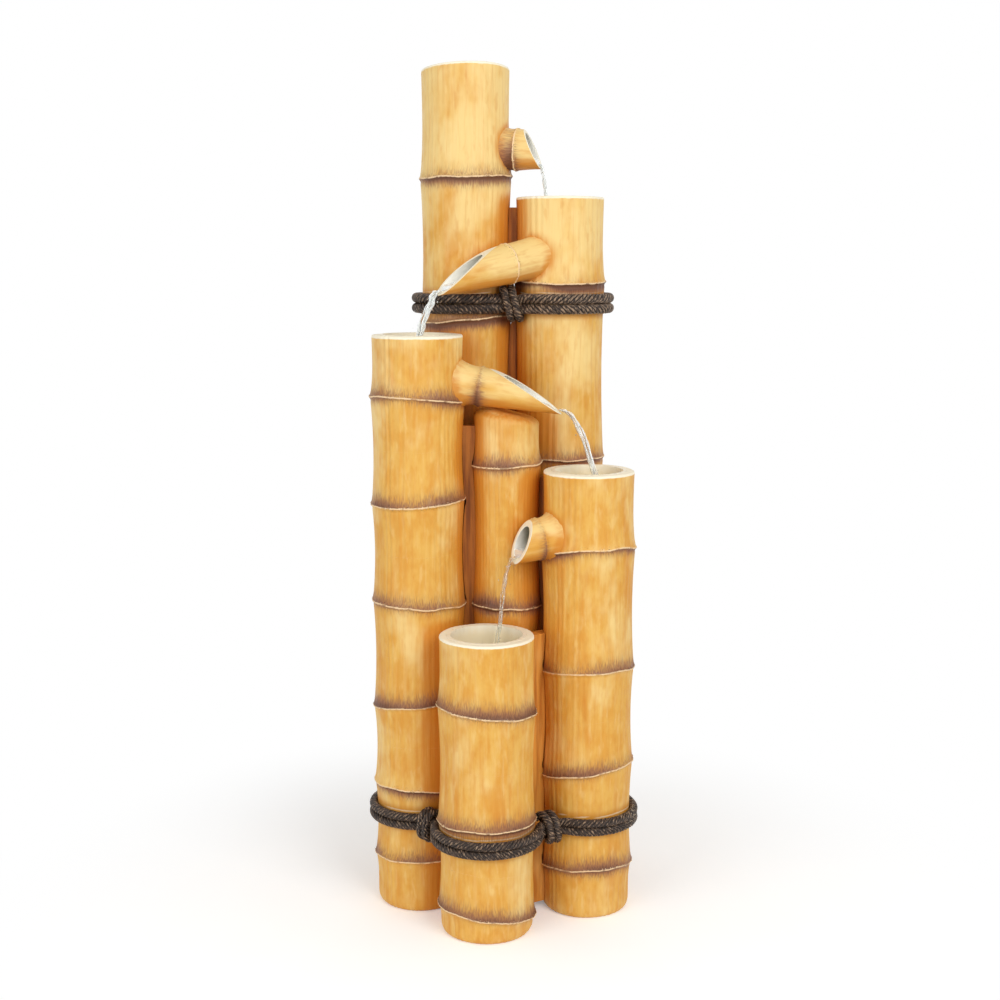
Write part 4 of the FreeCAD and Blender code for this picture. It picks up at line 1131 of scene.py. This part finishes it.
# %% Painted canes
BURN_ABOVE = 16 * MM
BURN_BELOW = 10 * MM
BURN_EDGE = 1.2
RIM_PAINT = 4.2 * MM
BORE_PAINT = 2 * MM
OUTER_MARGIN = 3 * MM
INSIDE_SHADE = 0.2
CANE_GRAIN_SHIFT = 11 * GRAIN_SHIFT


def burnt(cane, offs, angle):
    """How scorched each point is by the ridges above and below it, uneven round the cane."""
    above, below = np.array(cane.above)[:, None], np.array(cane.below)[:, None]
    uneven = np.stack([np.clip(1.1 + 0.4 * wander(angle, cane.seed * 41 + index, 1, 4), 0.5, 1.6)
                       for index in range(len(offs))])
    up = above * np.exp(-(np.abs(offs) / BURN_ABOVE) ** BURN_EDGE)
    down = below * np.exp(-(np.abs(offs) / BURN_BELOW) ** BURN_EDGE)
    return (np.where(offs > 0, up, down) * uneven).max(axis=0)


def paint_cane(piece, cane):
    places = points_of(piece)
    angle = np.arctan2(places[:, 1] - cane.y, places[:, 0] - cane.x)
    reach = np.hypot(places[:, 0] - cane.x, places[:, 1] - cane.y)
    outer = reach > cane.bore + OUTER_MARGIN
    offs = np.stack([places[:, 2] - cane.ridge_line(index, angle) for index in range(len(cane.ridges))])
    ridge = offs[np.abs(offs).argmin(axis=0), np.arange(len(places))]
    under_rim = cane.rim_line(angle) - places[:, 2]
    on_top = 1 - smooth(under_rim, 0.4 * RIM_PAINT, RIM_PAINT)
    on_edge = 1 - smooth(reach, cane.bore, cane.bore + BORE_PAINT)
    rim = np.maximum(on_top, on_edge)
    paint(piece, "burn", np.where(outer, burnt(cane, offs, angle), 0))
    paint(piece, "ridge", np.where(outer, ridge, FAR_OFF))
    paint(piece, "bed", np.where(outer, rope_bed(cane, places, angle), FAR_OFF))
    # Painted shade near other canes and spouts, and a little painted shade inside the bore.
    paint(piece, "crevice", np.where(outer, nearness(cane, places), INSIDE_SHADE))
    paint(piece, "cream", rim if cane.name != "filler" else np.zeros(len(places)))
    paint(piece, "pool", np.zeros(len(places)))
    paint(piece, "bleach", bleaching(cane, places[:, 2]))
    paint(piece, "grain", places - (cane.x, cane.y, 0) + CANE_GRAIN_SHIFT * cane.seed)


for name, shell in shells.items():
    paint_cane(shell, canes[name])
    dress(shell, BAMBOO, FOUNTAIN, "cane_resin", name + "_cane")
paint_cane(door_leaf, header)
dress(door_leaf, BAMBOO, "door", "cane_resin", "access_door")
print("painted", list(shells))

# %% [markdown]
# Two ropes lash the bundle, each laid twice round and drawn into the front crevices by knots. On the
# real fountain they are cast with the canes and painted tar-dark. A curve with a round bevel would give
# a plain hose, so each rope is laid as rope is: six strands twisted round a middle line. The two laps
# twist in opposite ways, which makes the herring-bone of the photograph; the change of hand lies under
# a knot.

# %% Rope routes
STRAND_GAP = 0.6 * MM
ROPE_CLEARANCE = 0.3 * MM
DIP_RADIUS = 30 * MM
ROUTE_STEP = 1.5 * MM
END_UNDER_KNOT = 9 * MM
ROPES = {
    "upper_rope": {"around": ["second", "header"], "dips": [1]},
    "lower_rope": {"around": ["fourth", "second", "header", "third", "basin"], "dips": [3, 4]},
}


def arc_points(centre, radius, begin, end, way):
    """Points from one bearing to another, counter-clockwise for way 1 and clockwise for way -1."""
    sweep = (way * (end - begin)) % (2 * math.pi)
    bearings = begin + way * np.linspace(0, sweep, max(3, int(sweep * radius / ROUTE_STEP)))
    return np.array(centre) + radius * np.stack([np.cos(bearings), np.sin(bearings)], axis=1)


def bearing_of(vector):
    return math.atan2(vector[1], vector[0])


class Lashing:
    def __init__(self, node, around, dips):
        low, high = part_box(node)
        self.node = node
        self.radius = (high.z - low.z - STRAND_GAP) / 4
        self.pitch = 2 * self.radius + STRAND_GAP
        self.height = (low.z + high.z) / 2
        band = np.linspace(low.z, high.z, 40)
        self.rings = [(np.array((canes[name].x, canes[name].y)),
                       canes[name].radius_at(band).max() + self.radius + ROPE_CLEARANCE) for name in around]
        self.dips = dips
        self.knots = {}
        self.loop = self.lay_loop()

    def lay_loop(self):
        """One lap as points on the plan, from the middle of the last dip round to it again."""
        links = [self.link(index) for index in range(len(self.rings))]
        lap = []
        for index, (centre, radius) in enumerate(self.rings):
            arrive, leave = links[index - 1]["arrive"], links[index]["leave"]
            lap.append(arc_points(centre, radius, bearing_of(arrive - centre), bearing_of(leave - centre), 1))
            if index in self.dips:
                lap.append(links[index]["dip"])
                self.knots[index] = links[index]["middle"], links[index]["way"]
        lap = np.concatenate(lap)
        self.dip_length = len(links[-1]["dip"]) * ROUTE_STEP
        start = np.hypot(*(lap - links[-1]["middle"]).T).argmin()
        lap = np.roll(lap, -start, axis=0)
        closed = np.vstack([lap, lap[:1]])
        run = np.concatenate([[0], np.cumsum(np.hypot(*np.diff(closed, axis=0).T))])
        self.length = run[-1]
        return run, closed

    def link(self, index):
        """How the rope goes from one cane to the next: straight, or dipping in between under a knot."""
        place_a, radius_a = self.rings[index]
        place_b, radius_b = self.rings[(index + 1) % len(self.rings)]
        run = place_b - place_a
        apart = np.hypot(*run)
        along = run / apart
        right = np.array((along[1], -along[0]))
        if index not in self.dips:
            lean = (radius_a - radius_b) / apart
            out = along * lean + right * math.sqrt(1 - lean * lean)
            return {"leave": place_a + out * radius_a, "arrive": place_b + out * radius_b}
        reach_a, reach_b = radius_a + DIP_RADIUS, radius_b + DIP_RADIUS
        forward = (apart ** 2 + reach_a ** 2 - reach_b ** 2) / (2 * apart)
        hub = place_a + along * forward + right * math.sqrt(reach_a ** 2 - forward ** 2)
        to_a, to_b = (place_a - hub) / reach_a, (place_b - hub) / reach_b
        inward = (to_a + to_b) / np.hypot(*(to_a + to_b))
        return {"leave": hub + to_a * DIP_RADIUS, "arrive": hub + to_b * DIP_RADIUS,
                "middle": hub + inward * DIP_RADIUS, "way": np.array((inward[1], -inward[0])),
                "dip": arc_points(hub, DIP_RADIUS, bearing_of(to_a), bearing_of(to_b), -1)}

    def route(self):
        """The middle line of both laps, and how far along it each point lies from the change of hand."""
        run, closed = self.loop
        along = np.arange(END_UNDER_KNOT, 2 * self.length - END_UNDER_KNOT, ROUTE_STEP)
        plan = [np.interp(along % self.length, run, closed[:, axis]) for axis in (0, 1)]
        climb = smooth(along - self.length, -self.dip_length / 2, self.dip_length / 2)
        rise = self.height + self.pitch * (climb - 0.5)
        return np.stack([*plan, rise], axis=1), np.abs(along - self.length)


lashings = {node: Lashing(node, **marks) for node, marks in ROPES.items()}
for lashing in lashings.values():
    print(lashing.node, "radius", round(lashing.radius / MM, 2), "mm, one lap", round(lashing.length, 3), "m")

# %% [markdown]
# Strands wind about the middle line at a steady lay. Each point also gets its place in the yarn, so
# that the fibres can be drawn along the twist, and its depth in the rope, so that painted shade can
# darken the grooves between strands and a painted highlight can lighten the crests. A short twisted
# piece could be repeated along a curve, but computed strands have no joints and stay round in the bends.

# %% Rope strands
STRANDS = 6
STRAND_SIDES = 10
LAY_IN_RADII = 6.0
YARN_TURNS = 260.0
ROPE_FULLNESS = 1.05
STRAND_UNEVEN = 0.05
STRAND_WAVES = 35.0


def unit(rows):
    return rows / np.linalg.norm(rows, axis=1, keepdims=True)


def rings_about(line, first, second, radii, around):
    """Rings of points about a line, spanned by two directions across it."""
    cosines, sines = np.cos(around)[None, :, None], np.sin(around)[None, :, None]
    ring = first[:, None, :] * cosines + second[:, None, :] * sines
    return line[:, None, :] + radii[:, None, None] * ring


def lay_rope(name, middle, along, radius):
    """A rope of strands about a middle line, with values for its paint."""
    ahead = unit(np.gradient(middle, axis=0))
    side = unit(np.cross(ahead, np.array(UP)) + 1e-9)
    over = np.cross(side, ahead)
    strand = radius * ROPE_FULLNESS / (1 + 1 / math.sin(math.pi / STRANDS))
    off = radius * ROPE_FULLNESS - strand
    around = np.linspace(0, 2 * math.pi, STRAND_SIDES, endpoint=False)
    sheets, yarns, depths = [], [], []
    for index in range(STRANDS):
        turn = 2 * math.pi * (along / (LAY_IN_RADII * radius) + index / STRANDS)
        out = side * np.cos(turn)[:, None] + over * np.sin(turn)[:, None]
        core = middle + out * off
        forward = unit(np.gradient(core, axis=0))
        first = unit(out - forward * np.sum(out * forward, axis=1, keepdims=True))
        second = np.cross(forward, first)
        uneven = strand * (1 + STRAND_UNEVEN * wander(along * STRAND_WAVES, index + int(1e5 * radius), 2, 9))
        rings = rings_about(core, first, second, uneven, around)
        sheets.append(sheet(rings, core[0], core[-1]))
        twist = around[None, :] + YARN_TURNS * along[:, None]
        yarn = np.stack([strand * np.cos(twist), strand * np.sin(twist),
                         np.broadcast_to(along[:, None], twist.shape) + index], axis=-1)
        depth = 1 - np.linalg.norm(rings - middle[:, None, :], axis=2) / (radius * ROPE_FULLNESS)
        yarns += [yarn.reshape(-1, 3), yarn[0, :1], yarn[-1, :1]]
        depths += [depth.ravel(), [0.5, 0.5]]
    rope = skin(name, *sheets)
    paint(rope, "yarn", np.concatenate(yarns))
    paint(rope, "depth", np.concatenate(depths))
    return rope


print("one lay of the upper rope", round(LAY_IN_RADII * lashings["upper_rope"].radius / MM), "mm")

# %% [markdown]
# The rope's paint is nearly black in the grooves, a painted shade, and lighter and browner on the
# crests, a painted highlight that is stronger on the upper rope towards the right. At one place low on
# the right the paint has chipped to the pale casting. Fibres could be modelled as hair, but a bump along
# the yarn is enough at this size.

# %% Rope paint
TAR = srgb(72, 54, 44)
TAR_DARK = srgb(24, 18, 15)
TAR_HIGHLIGHT = srgb(168, 140, 114)
WORN = srgb(206, 190, 165)
TUFT_DEPTH = 1.1 * MM


def rope_paint():
    finish = Finish("rope_paint", Specular_IOR_Level=0.4)
    yarn = finish.attribute("yarn", "Vector")
    fibre = finish.noise(yarn, (900, 900, 90), 3)
    tuft = finish.noise(yarn, (420, 420, 260), 3, 0.6)
    chip = finish.noise(finish.place(), (420, 420, 420), 2, 0.7)
    depth = finish.attribute("depth")
    colour = finish.wash(TAR_DARK, TAR, fibre, 0.36, 0.66)
    highlight_noise = finish.math("MULTIPLY_ADD", finish.attribute("faded"), 0.07, tuft)
    # Painted highlight on the strands' crests, stronger on the upper rope towards the right.
    crest_highlight = finish.math("MULTIPLY", finish.ramp(highlight_noise, 0.48, 0.68), finish.ramp(depth, 0.14, 0.02))
    colour = finish.mix(crest_highlight, colour, TAR_HIGHLIGHT)
    # Painted shade: the grooves between strands are darkened.
    colour = finish.wash(colour, TAR_DARK, depth, 0.05, 0.2)
    chipped = finish.math("MULTIPLY_ADD", finish.attribute("worn"), 0.13, chip)
    finish.colour(finish.wash(colour, WORN, chipped, 0.71, 0.77))
    finish.roughness(finish.ramp(fibre, 0.3, 0.7, 0.62, 0.42))
    finish.bump(finish.math("ADD", fibre, tuft), TUFT_DEPTH, 0.8)
    return finish.material


ROPE = rope_paint()
WORN_PLACE = (0.175, -0.05, 0.14)
WORN_REACH = 60 * MM
HIGHLIGHT_ACROSS = (-0.03, 0.06)


def dress_rope(rope, node):
    places = points_of(rope)
    near = np.linalg.norm(places - np.array(WORN_PLACE), axis=1)
    paint(rope, "worn", 1 - smooth(near, 0.3 * WORN_REACH, WORN_REACH))
    # How much painted highlight: more high up and towards the right.
    paint(rope, "faded", smooth(places[:, 2], *PALER_BETWEEN) * smooth(places[:, 0], *HIGHLIGHT_ACROSS))
    dress(rope, ROPE, FOUNTAIN, "rope_fibre", node)
    print(node, len(rope.data.polygons), "faces")


for node, lashing in lashings.items():
    middle, along = lashing.route()
    dress_rope(lay_rope(node + "_strands", middle, along, lashing.radius), node)

# %% [markdown]
# Each knot is a short rope wound across both laps. It leans a little, as the photograph shows: the
# lower left one to one side at its top, the others to the other. A true knot could be tied along a
# curve, but only its face shows, and there the turns lie side by side.

# %% Knots
KNOT_EASE = 1.4 * MM
KNOT_GAP = 0.8 * MM
KNOT_HALF_TURNS = 3
KNOT_TAIL = 0.3
KNOTS = {
    "upper_knot": {"rope": "upper_rope", "dip": 1, "lean": -0.16},
    "lower_left_knot": {"rope": "lower_rope", "dip": 3, "lean": 0.2},
    "lower_right_knot": {"rope": "lower_rope", "dip": 4, "lean": -0.1},
}


def stadium(travel, straight, bend):
    """Depth and rise after some travel round a track with two straight sides, begun at its top."""
    quarter = math.pi / 2 * bend
    half = 2 * quarter + 2 * straight
    face = np.where(np.floor(travel / half) % 2 == 0, 1.0, -1.0)
    part_way = travel % half
    first, last = part_way / bend, (part_way - quarter - 2 * straight) / bend
    depth = np.where(part_way < quarter, bend * np.sin(first),
                     np.where(part_way < quarter + 2 * straight, bend, bend * np.cos(last)))
    rise = np.where(part_way < quarter, straight + bend * np.cos(first),
                    np.where(part_way < quarter + 2 * straight, straight + quarter - part_way,
                             -straight - bend * np.sin(last)))
    return face * depth, face * rise, half


def tie_knot(node, rope, dip, lean):
    lashing = lashings[rope]
    low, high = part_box(node)
    radius = ((high.z - low.z - lashing.pitch) / 2 - lashing.radius - KNOT_EASE) / 2
    straight, bend = lashing.pitch / 2, lashing.radius + KNOT_EASE + radius
    half = stadium(np.zeros(1), straight, bend)[2]
    travel = np.arange(-KNOT_TAIL * half, (KNOT_HALF_TURNS + KNOT_TAIL) * half, ROUTE_STEP)
    depth, rise, _ = stadium(travel, straight, bend)
    place, way = lashing.knots[dip]
    out = np.array((way[1], -way[0]))
    shift = (2 * radius + KNOT_GAP) * (travel / (2 * half) - KNOT_HALF_TURNS / 4) + lean * rise
    plan = place + depth[:, None] * out + shift[:, None] * way
    middle = np.column_stack([plan, lashing.height + rise])
    dress_rope(lay_rope(node + "_strands", middle, travel - travel[0], radius), node)


for node, marks in KNOTS.items():
    tie_knot(node, **marks)

# %% [markdown]
# Water fills the cups, runs in a film along each channel and falls to the next cup. It is no piece on a
# bench, so it stands for no node and takes no slot; it rides on the fountain. A fluid simulation could
# pour it, but a stream that has settled is a thrown path with a few wandering threads, and that can be
# drawn directly.

# %% Water finish
SWIRLS = (150, 150, 60)
SWIRL_DEPTH = 1.2 * MM


def water_finish(name, clearness, swirls):
    finish = Finish(name, IOR=1.33, Transmission_Weight=clearness)
    swirl = finish.noise(finish.place(), swirls, 3)
    finish.colour(finish.mix(swirl, srgb(252, 253, 252), srgb(238, 243, 240)))
    finish.roughness(finish.ramp(swirl, 0.3, 0.7, 0.0, 0.06))
    finish.bump(swirl, SWIRL_DEPTH, 0.5)
    return finish.material


def dress_water(piece, finish):
    piece.data.materials.append(finish)
    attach(piece, FOUNTAIN)
    return piece


STILL_WATER = water_finish("still_water", 1.0, SWIRLS)
RUNNING_WATER = water_finish("running_water", 0.3, SWIRLS)
print("finishes", STILL_WATER.name, "and", RUNNING_WATER.name)

# %% [markdown]
# Still water stands in each cup a little above the floor of its spout's channel, so that it runs out
# there. The basin has no spout, and its water stands nearer to the rim. A flat disc would do for a
# pool, but on the real one rings spread from where the stream lands.

# %% Pools
CUP_FLOOR = 5 * MM
WATER_UNDER_AXIS = 0.45
POOL_EDGE = 0.25 * MM
POOL_RINGS = 22
POOL_COLUMNS = 96
BASIN_DEPTH_TO_WATER = 36 * MM
RIPPLE = 0.5 * MM
RIPPLE_LENGTH = 11 * MM
RIPPLE_FADE = 2.5 * RIPPLE_LENGTH
TIP_BACK = 3 * MM
TIP_LIFT = 1.2 * MM
GRAVITY = 9.81
THROWN_SPEED = {"header": 0.10, "second": 0.27, "third": 0.36, "fourth": 0.17}


def water_level(name):
    if name not in spouts:
        return canes[name].height - BASIN_DEPTH_TO_WATER
    spout = spouts[name]
    axis_at_wall = spout.start.z + spout.along.z * spout.source.waist
    return axis_at_wall - WATER_UNDER_AXIS * (spout.root - spout.wall)


def tip_floor(spout):
    """The lowest point of the channel at the tip, where the water leaves it."""
    depth = spout.tip - spout.wall - TIP_LIFT
    return spout.start + spout.along * (spout.end - TIP_BACK) - spout.rise * depth


def fall_path(spout, steps):
    """Places along the thrown path from a spout's tip to the water in the next cup."""
    begin = tip_floor(spout)
    drop = begin.z - water_level(spout.target.name)
    seconds = np.linspace(0, math.sqrt(2 * drop / GRAVITY), steps)
    level = np.array((spout.along.x, spout.along.y, 0)) / math.hypot(spout.along.x, spout.along.y)
    thrown = np.array(begin) + np.outer(seconds * THROWN_SPEED[spout.name], level)
    thrown[:, 2] -= GRAVITY * seconds ** 2 / 2
    return thrown


def pool(name):
    cane = canes[name]
    edge = cup_inner(cane) - POOL_EDGE
    level = water_level(name)
    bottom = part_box(name + "_cup")[0].z + CUP_FLOOR + POOL_EDGE
    feeder = next((spout for spout in spouts.values() if spout.target is cane), None)
    splash = fall_path(feeder, 3)[-1][:2] if feeder else np.array((cane.x, cane.y))
    bearing = np.linspace(0, 2 * math.pi, POOL_COLUMNS, endpoint=False)
    out = np.stack([np.cos(bearing), np.sin(bearing)], axis=1)
    rings = [np.column_stack([out * edge + (cane.x, cane.y), np.full(POOL_COLUMNS, bottom)])]
    for share in np.linspace(1, 0, POOL_RINGS, endpoint=False):
        plan = out * edge * share + (cane.x, cane.y)
        away = np.hypot(*(plan - splash).T)
        wave = RIPPLE * np.cos(2 * math.pi * away / RIPPLE_LENGTH) * np.exp(-away / RIPPLE_FADE)
        rings.append(np.column_stack([plan, level + wave]))
    middle = (cane.x, cane.y)
    return skin(name + "_water", sheet(np.stack(rings), (*middle, bottom), (*middle, level)))


for name in CASCADE:
    dress_water(pool(name), STILL_WATER)
    print(name, "water", round((canes[name].height - water_level(name)) / MM), "mm below the rim")

# %% [markdown]
# The film in a channel lies between the channel's floor and a nearly flat top, and narrows where the
# slanting cut takes the walls away. A copy of the channel's skin could be lifted a little, but then its
# top would not be level.

# %% Films in the channels
FILM_STEPS = 26
FILM_POINTS = 13
FILM_LIFT = 0.25 * MM
FILM_HALF_ANGLE = 1.0
FILM_CROWN = 0.5 * MM
FILM_RIPPLE = 0.35 * MM
FILM_RIPPLES = 420
FILM_SHORT = 1.0 * MM
FILM_END = 0.5 * MM
FILM_INSET = 0.995


def film(spout, seed):
    side_turns = np.linspace(0.02, FILM_HALF_ANGLE, 40)
    cuts = [spout.slant(math.pi + side * side_turns, spout.wall) for side in (-1, 1)]
    walls_end = np.minimum(*cuts) - FILM_SHORT
    begin = spout.source.waist - CANE_WALL
    rings = []
    for distance in np.linspace(begin, walls_end[0] - FILM_END, FILM_STEPS):
        standing = side_turns[walls_end >= distance]
        half = standing.max() if len(standing) else side_turns[0]
        radius = float(spout.radius_at(distance)) - spout.wall - FILM_LIFT
        across = np.linspace(-half, half, FILM_POINTS)
        floor = np.stack([radius * np.sin(across), -radius * np.cos(across)], axis=1)
        crown = np.cos(across / half * math.pi / 2)
        ripple = FILM_RIPPLE * math.sin(distance * FILM_RIPPLES + seed) * crown
        top_rise = -radius * math.cos(half) + FILM_CROWN * crown + ripple
        top = np.stack([radius * np.sin(across) * FILM_INSET, top_rise], axis=1)
        section = np.concatenate([floor, top[::-1][1:-1]])
        place = np.array(spout.start + spout.along * distance)
        rings.append(place + section[:, :1] * np.array(spout.side) + section[:, 1:] * np.array(spout.rise))
    rings = np.stack(rings)
    return sheet(rings, rings[0].mean(axis=0), rings[-1].mean(axis=0))


print("film of the header's spout", len(film(spouts["header"], 1)[1]), "faces")

# %% [markdown]
# Past the tip the water breaks into threads that wander, pinch and shed drops. One round stream could
# be drawn, but it would look like a wire, so several thin ones are drawn about the thrown path. The
# upper streams look whiter in the photograph and the lower ones clearer, so each has its own clearness.

# %% Falling streams
THREADS = 5
THREAD_SIDES = 12
THREAD_RADIUS = {"header": 1.5 * MM, "second": 2.1 * MM, "third": 1.8 * MM, "fourth": 1.3 * MM}
THREAD_WANDER = {"header": 2.4 * MM, "second": 5.2 * MM, "third": 5.0 * MM, "fourth": 3.6 * MM}
FALL_STEPS = 90
DROPS = 16
DROP_RADII = (0.35, 1.0)
STREAM_CLEARNESS = {"header": 0.5, "second": 0.5, "third": 0.8, "fourth": 0.92}
STREAM_SWIRLS = (420, 420, 190)


def thread(middle, radius, sides):
    ahead = unit(np.gradient(middle, axis=0))
    side = unit(np.cross(ahead, (0.3, 0.9, 0.1)))
    over = np.cross(side, ahead)
    around = np.linspace(0, 2 * math.pi, sides, endpoint=False)
    return sheet(rings_about(middle, side, over, radius, around), middle[0], middle[-1])


def drop_of_water(place, radius):
    tall = np.linspace(-1, 1, 9)
    middle = np.array(place) + np.outer(tall * radius * 1.3, (0, 0, 1))
    return thread(middle, radius * np.sqrt(np.clip(1 - tall ** 2, 0.01, 1)), 10)


def falling_stream(spout, seed):
    draw = np.random.default_rng(400 + seed)
    path = fall_path(spout, FALL_STEPS)
    share = np.linspace(0, 1, FALL_STEPS)
    side = np.array(spout.side)
    front = np.cross(side, (0, 0, 1.0))
    spread = THREAD_WANDER[spout.name]
    sheets = []
    for index in range(THREADS):
        place = (index - (THREADS - 1) / 2) / (THREADS - 1) * 2
        waves = [draw.uniform(0, 2 * math.pi) for _ in range(4)]
        sway = place * spread * (1 - 0.45 * share) + 0.5 * spread * np.sin(9 * share + waves[0]) * share
        sway = sway + 0.2 * spread * np.sin(41 * share + waves[3]) * np.minimum(1, 4 * share)
        depth = 0.6 * spread * np.sin(7 * share + waves[1])
        pulse = 0.75 + 0.3 * np.sin(16 * share + waves[2]) + 0.2 * np.sin(37 * share + waves[3])
        girth = THREAD_RADIUS[spout.name] * pulse * np.minimum(1, share / 0.04 + 0.25)
        middle = path + sway[:, None] * side + depth[:, None] * front
        sheets.append(thread(middle, girth, THREAD_SIDES))
    for _ in range(DROPS):
        where = path[draw.integers(FALL_STEPS // 4, FALL_STEPS - 6)]
        shift = side * draw.normal(0, 1.5 * spread) + front * draw.normal(0, spread)
        sheets.append(drop_of_water(where + shift, draw.uniform(*DROP_RADII) * MM))
    return sheets


for seed, (name, spout) in enumerate(spouts.items(), 1):
    dress_water(skin(name + "_film", film(spout, seed)), RUNNING_WATER)
    falling_water = water_finish(name + "_falling_water", STREAM_CLEARNESS[name], STREAM_SWIRLS)
    stream = dress_water(skin(name + "_stream", *falling_stream(spout, seed)), falling_water)
    print(stream.name, len(stream.data.polygons), "faces")

# %% [markdown]
# The cups are glazed paler than the canes and turn a deeper cream the further they lie below the rim.
# The packed cups are shown as they are; each has its own glaze, because the deeper cream starts at its
# own rim. It could be painted into a picture, but a wash that goes by depth needs none.

# %% Cup glaze
GLAZE = srgb(255, 246, 222)
DEEPER_CREAM = srgb(252, 236, 198)
DEEPEST_CREAM = srgb(244, 225, 174)
DEEPER_BETWEEN = (6 * MM, 22 * MM)
DEEPEST_BETWEEN = (24 * MM, 70 * MM)
RUN_LENGTH = 12 * MM


def cup_glaze(name):
    finish = Finish(name + "_cup_glaze", Specular_IOR_Level=0.5)
    wear = finish.noise(finish.place(), (70, 70, 40), 4, 0.6)
    runs = finish.noise(finish.place(), (130, 130, 12), 3)
    depth = finish.math("SUBTRACT", canes[name].height, finish.height())
    uneven = finish.math("ADD", depth, finish.math("MULTIPLY", runs, RUN_LENGTH))
    # A deeper cream the further below the rim.
    colour = finish.wash(GLAZE, DEEPER_CREAM, uneven, *DEEPER_BETWEEN)
    colour = finish.wash(colour, DEEPEST_CREAM, uneven, *DEEPEST_BETWEEN)
    finish.colour(finish.wash(colour, DEEPEST_CREAM, wear, 0.55, 0.8, 0.5))
    finish.roughness(finish.ramp(wear, 0.3, 0.7, 0.25, 0.45))
    finish.bump(wear, 0.8 * MM, 0.4)
    return finish.material


def show(node, finish):
    """Gives a packed node a finish and leaves its shape alone."""
    piece = frame["nodes"][node]
    piece.data.materials.clear()
    piece.data.materials.append(finish)


for name in CASCADE:
    show(name + "_cup", cup_glaze(name))
print("glazed", len(CASCADE), "cups")

# %% [markdown]
# The rest of the packed nodes are mostly out of sight: the resin webs between the canes, the pump and
# its plumbing, the door's hardware. Plain colours would do where nothing shows, but the door opens, so
# each material gets the grain that the real one would have. The webs deep between the canes are painted
# a darker brown than those near the front, as painted shade.

# %% Webs, pump and hardware
RESIN_BACK = srgb(230, 158, 66)
RESIN_DEEP = srgb(190, 116, 38)
RESIN_EDGE = srgb(238, 182, 100)
SHADED_BACK = srgb(176, 104, 34)
SHADED_DEEP = srgb(124, 66, 18)
SHADED_EDGE = srgb(190, 122, 50)
SHADED_WEBS = ("web_third_filler", "web_filler_fourth", "web_header_second", "web_header_third")


def web_finish(name, back, deep, edge):
    finish = Finish(name, Roughness=0.55, Specular_IOR_Level=0.3)
    streak = finish.noise(finish.place(), (150, 150, 9), 4)
    cloud = finish.noise(finish.place(), (22, 22, 9), 3)
    colour = finish.wash(deep, back, streak, 0.35, 0.65)
    finish.colour(finish.wash(colour, edge, cloud, 0.52, 0.75, 0.6))
    finish.bump(streak, 1.2 * MM, 0.5)
    return finish.material


def moulded_finish(name, light, dark, rough=(0.35, 0.5), **sockets):
    """Moulded plastic or rubber: a fine even grain and faint flow marks."""
    finish = Finish(name, **sockets)
    grain = finish.noise(finish.own_place(), (1800, 1800, 1800), 2)
    flow = finish.noise(finish.own_place(), (45, 45, 20), 3)
    finish.colour(finish.mix(flow, dark, light))
    finish.roughness(finish.ramp(grain, 0.3, 0.7, *rough))
    finish.bump(grain, 0.3 * MM, 0.5)
    return finish.material


def brushed_finish(name, light, dark, rough=(0.25, 0.42)):
    """Metal with fine upright brush marks."""
    finish = Finish(name, Metallic=1.0)
    brush = finish.noise(finish.own_place(), (2200, 2200, 60), 3)
    spot = finish.noise(finish.own_place(), (80, 80, 80), 3)
    finish.colour(finish.mix(spot, dark, light))
    finish.roughness(finish.ramp(brush, 0.3, 0.7, *rough))
    finish.bump(brush, 0.2 * MM, 0.5)
    return finish.material


SLOT_FINISHES = {
    "web_resin": web_finish("web_resin", RESIN_BACK, RESIN_DEEP, RESIN_EDGE),
    "pump_plastic": moulded_finish("pump_plastic", srgb(58, 62, 68), srgb(36, 39, 44)),
    "fitting_plastic": moulded_finish("fitting_plastic", srgb(96, 98, 100), srgb(66, 68, 70)),
    "hose_vinyl": moulded_finish("hose_vinyl", srgb(206, 214, 205), srgb(178, 188, 178), (0.12, 0.25)),
    "seal_rubber": moulded_finish("seal_rubber", srgb(38, 38, 40), srgb(22, 22, 24), (0.55, 0.75)),
    "steel": brushed_finish("steel", srgb(206, 208, 210), srgb(168, 170, 173)),
    "magnet": brushed_finish("magnet", srgb(120, 122, 126), srgb(86, 88, 92)),
    "shaft_ceramic": moulded_finish("shaft_ceramic", srgb(244, 242, 236), srgb(228, 226, 218), (0.15, 0.25)),
}
for subpart in frame["record"]["subparts"]:
    if subpart["material_slot"] in SLOT_FINISHES:
        show(subpart["node"], SLOT_FINISHES[subpart["material_slot"]])
# The deep webs take a darker resin as painted shade.
shaded_web = web_finish("shaded_web_resin", SHADED_BACK, SHADED_DEEP, SHADED_EDGE)
for web in SHADED_WEBS:
    show(web, shaded_web)
print("finished slots", list(SLOT_FINISHES))

# %% [markdown]
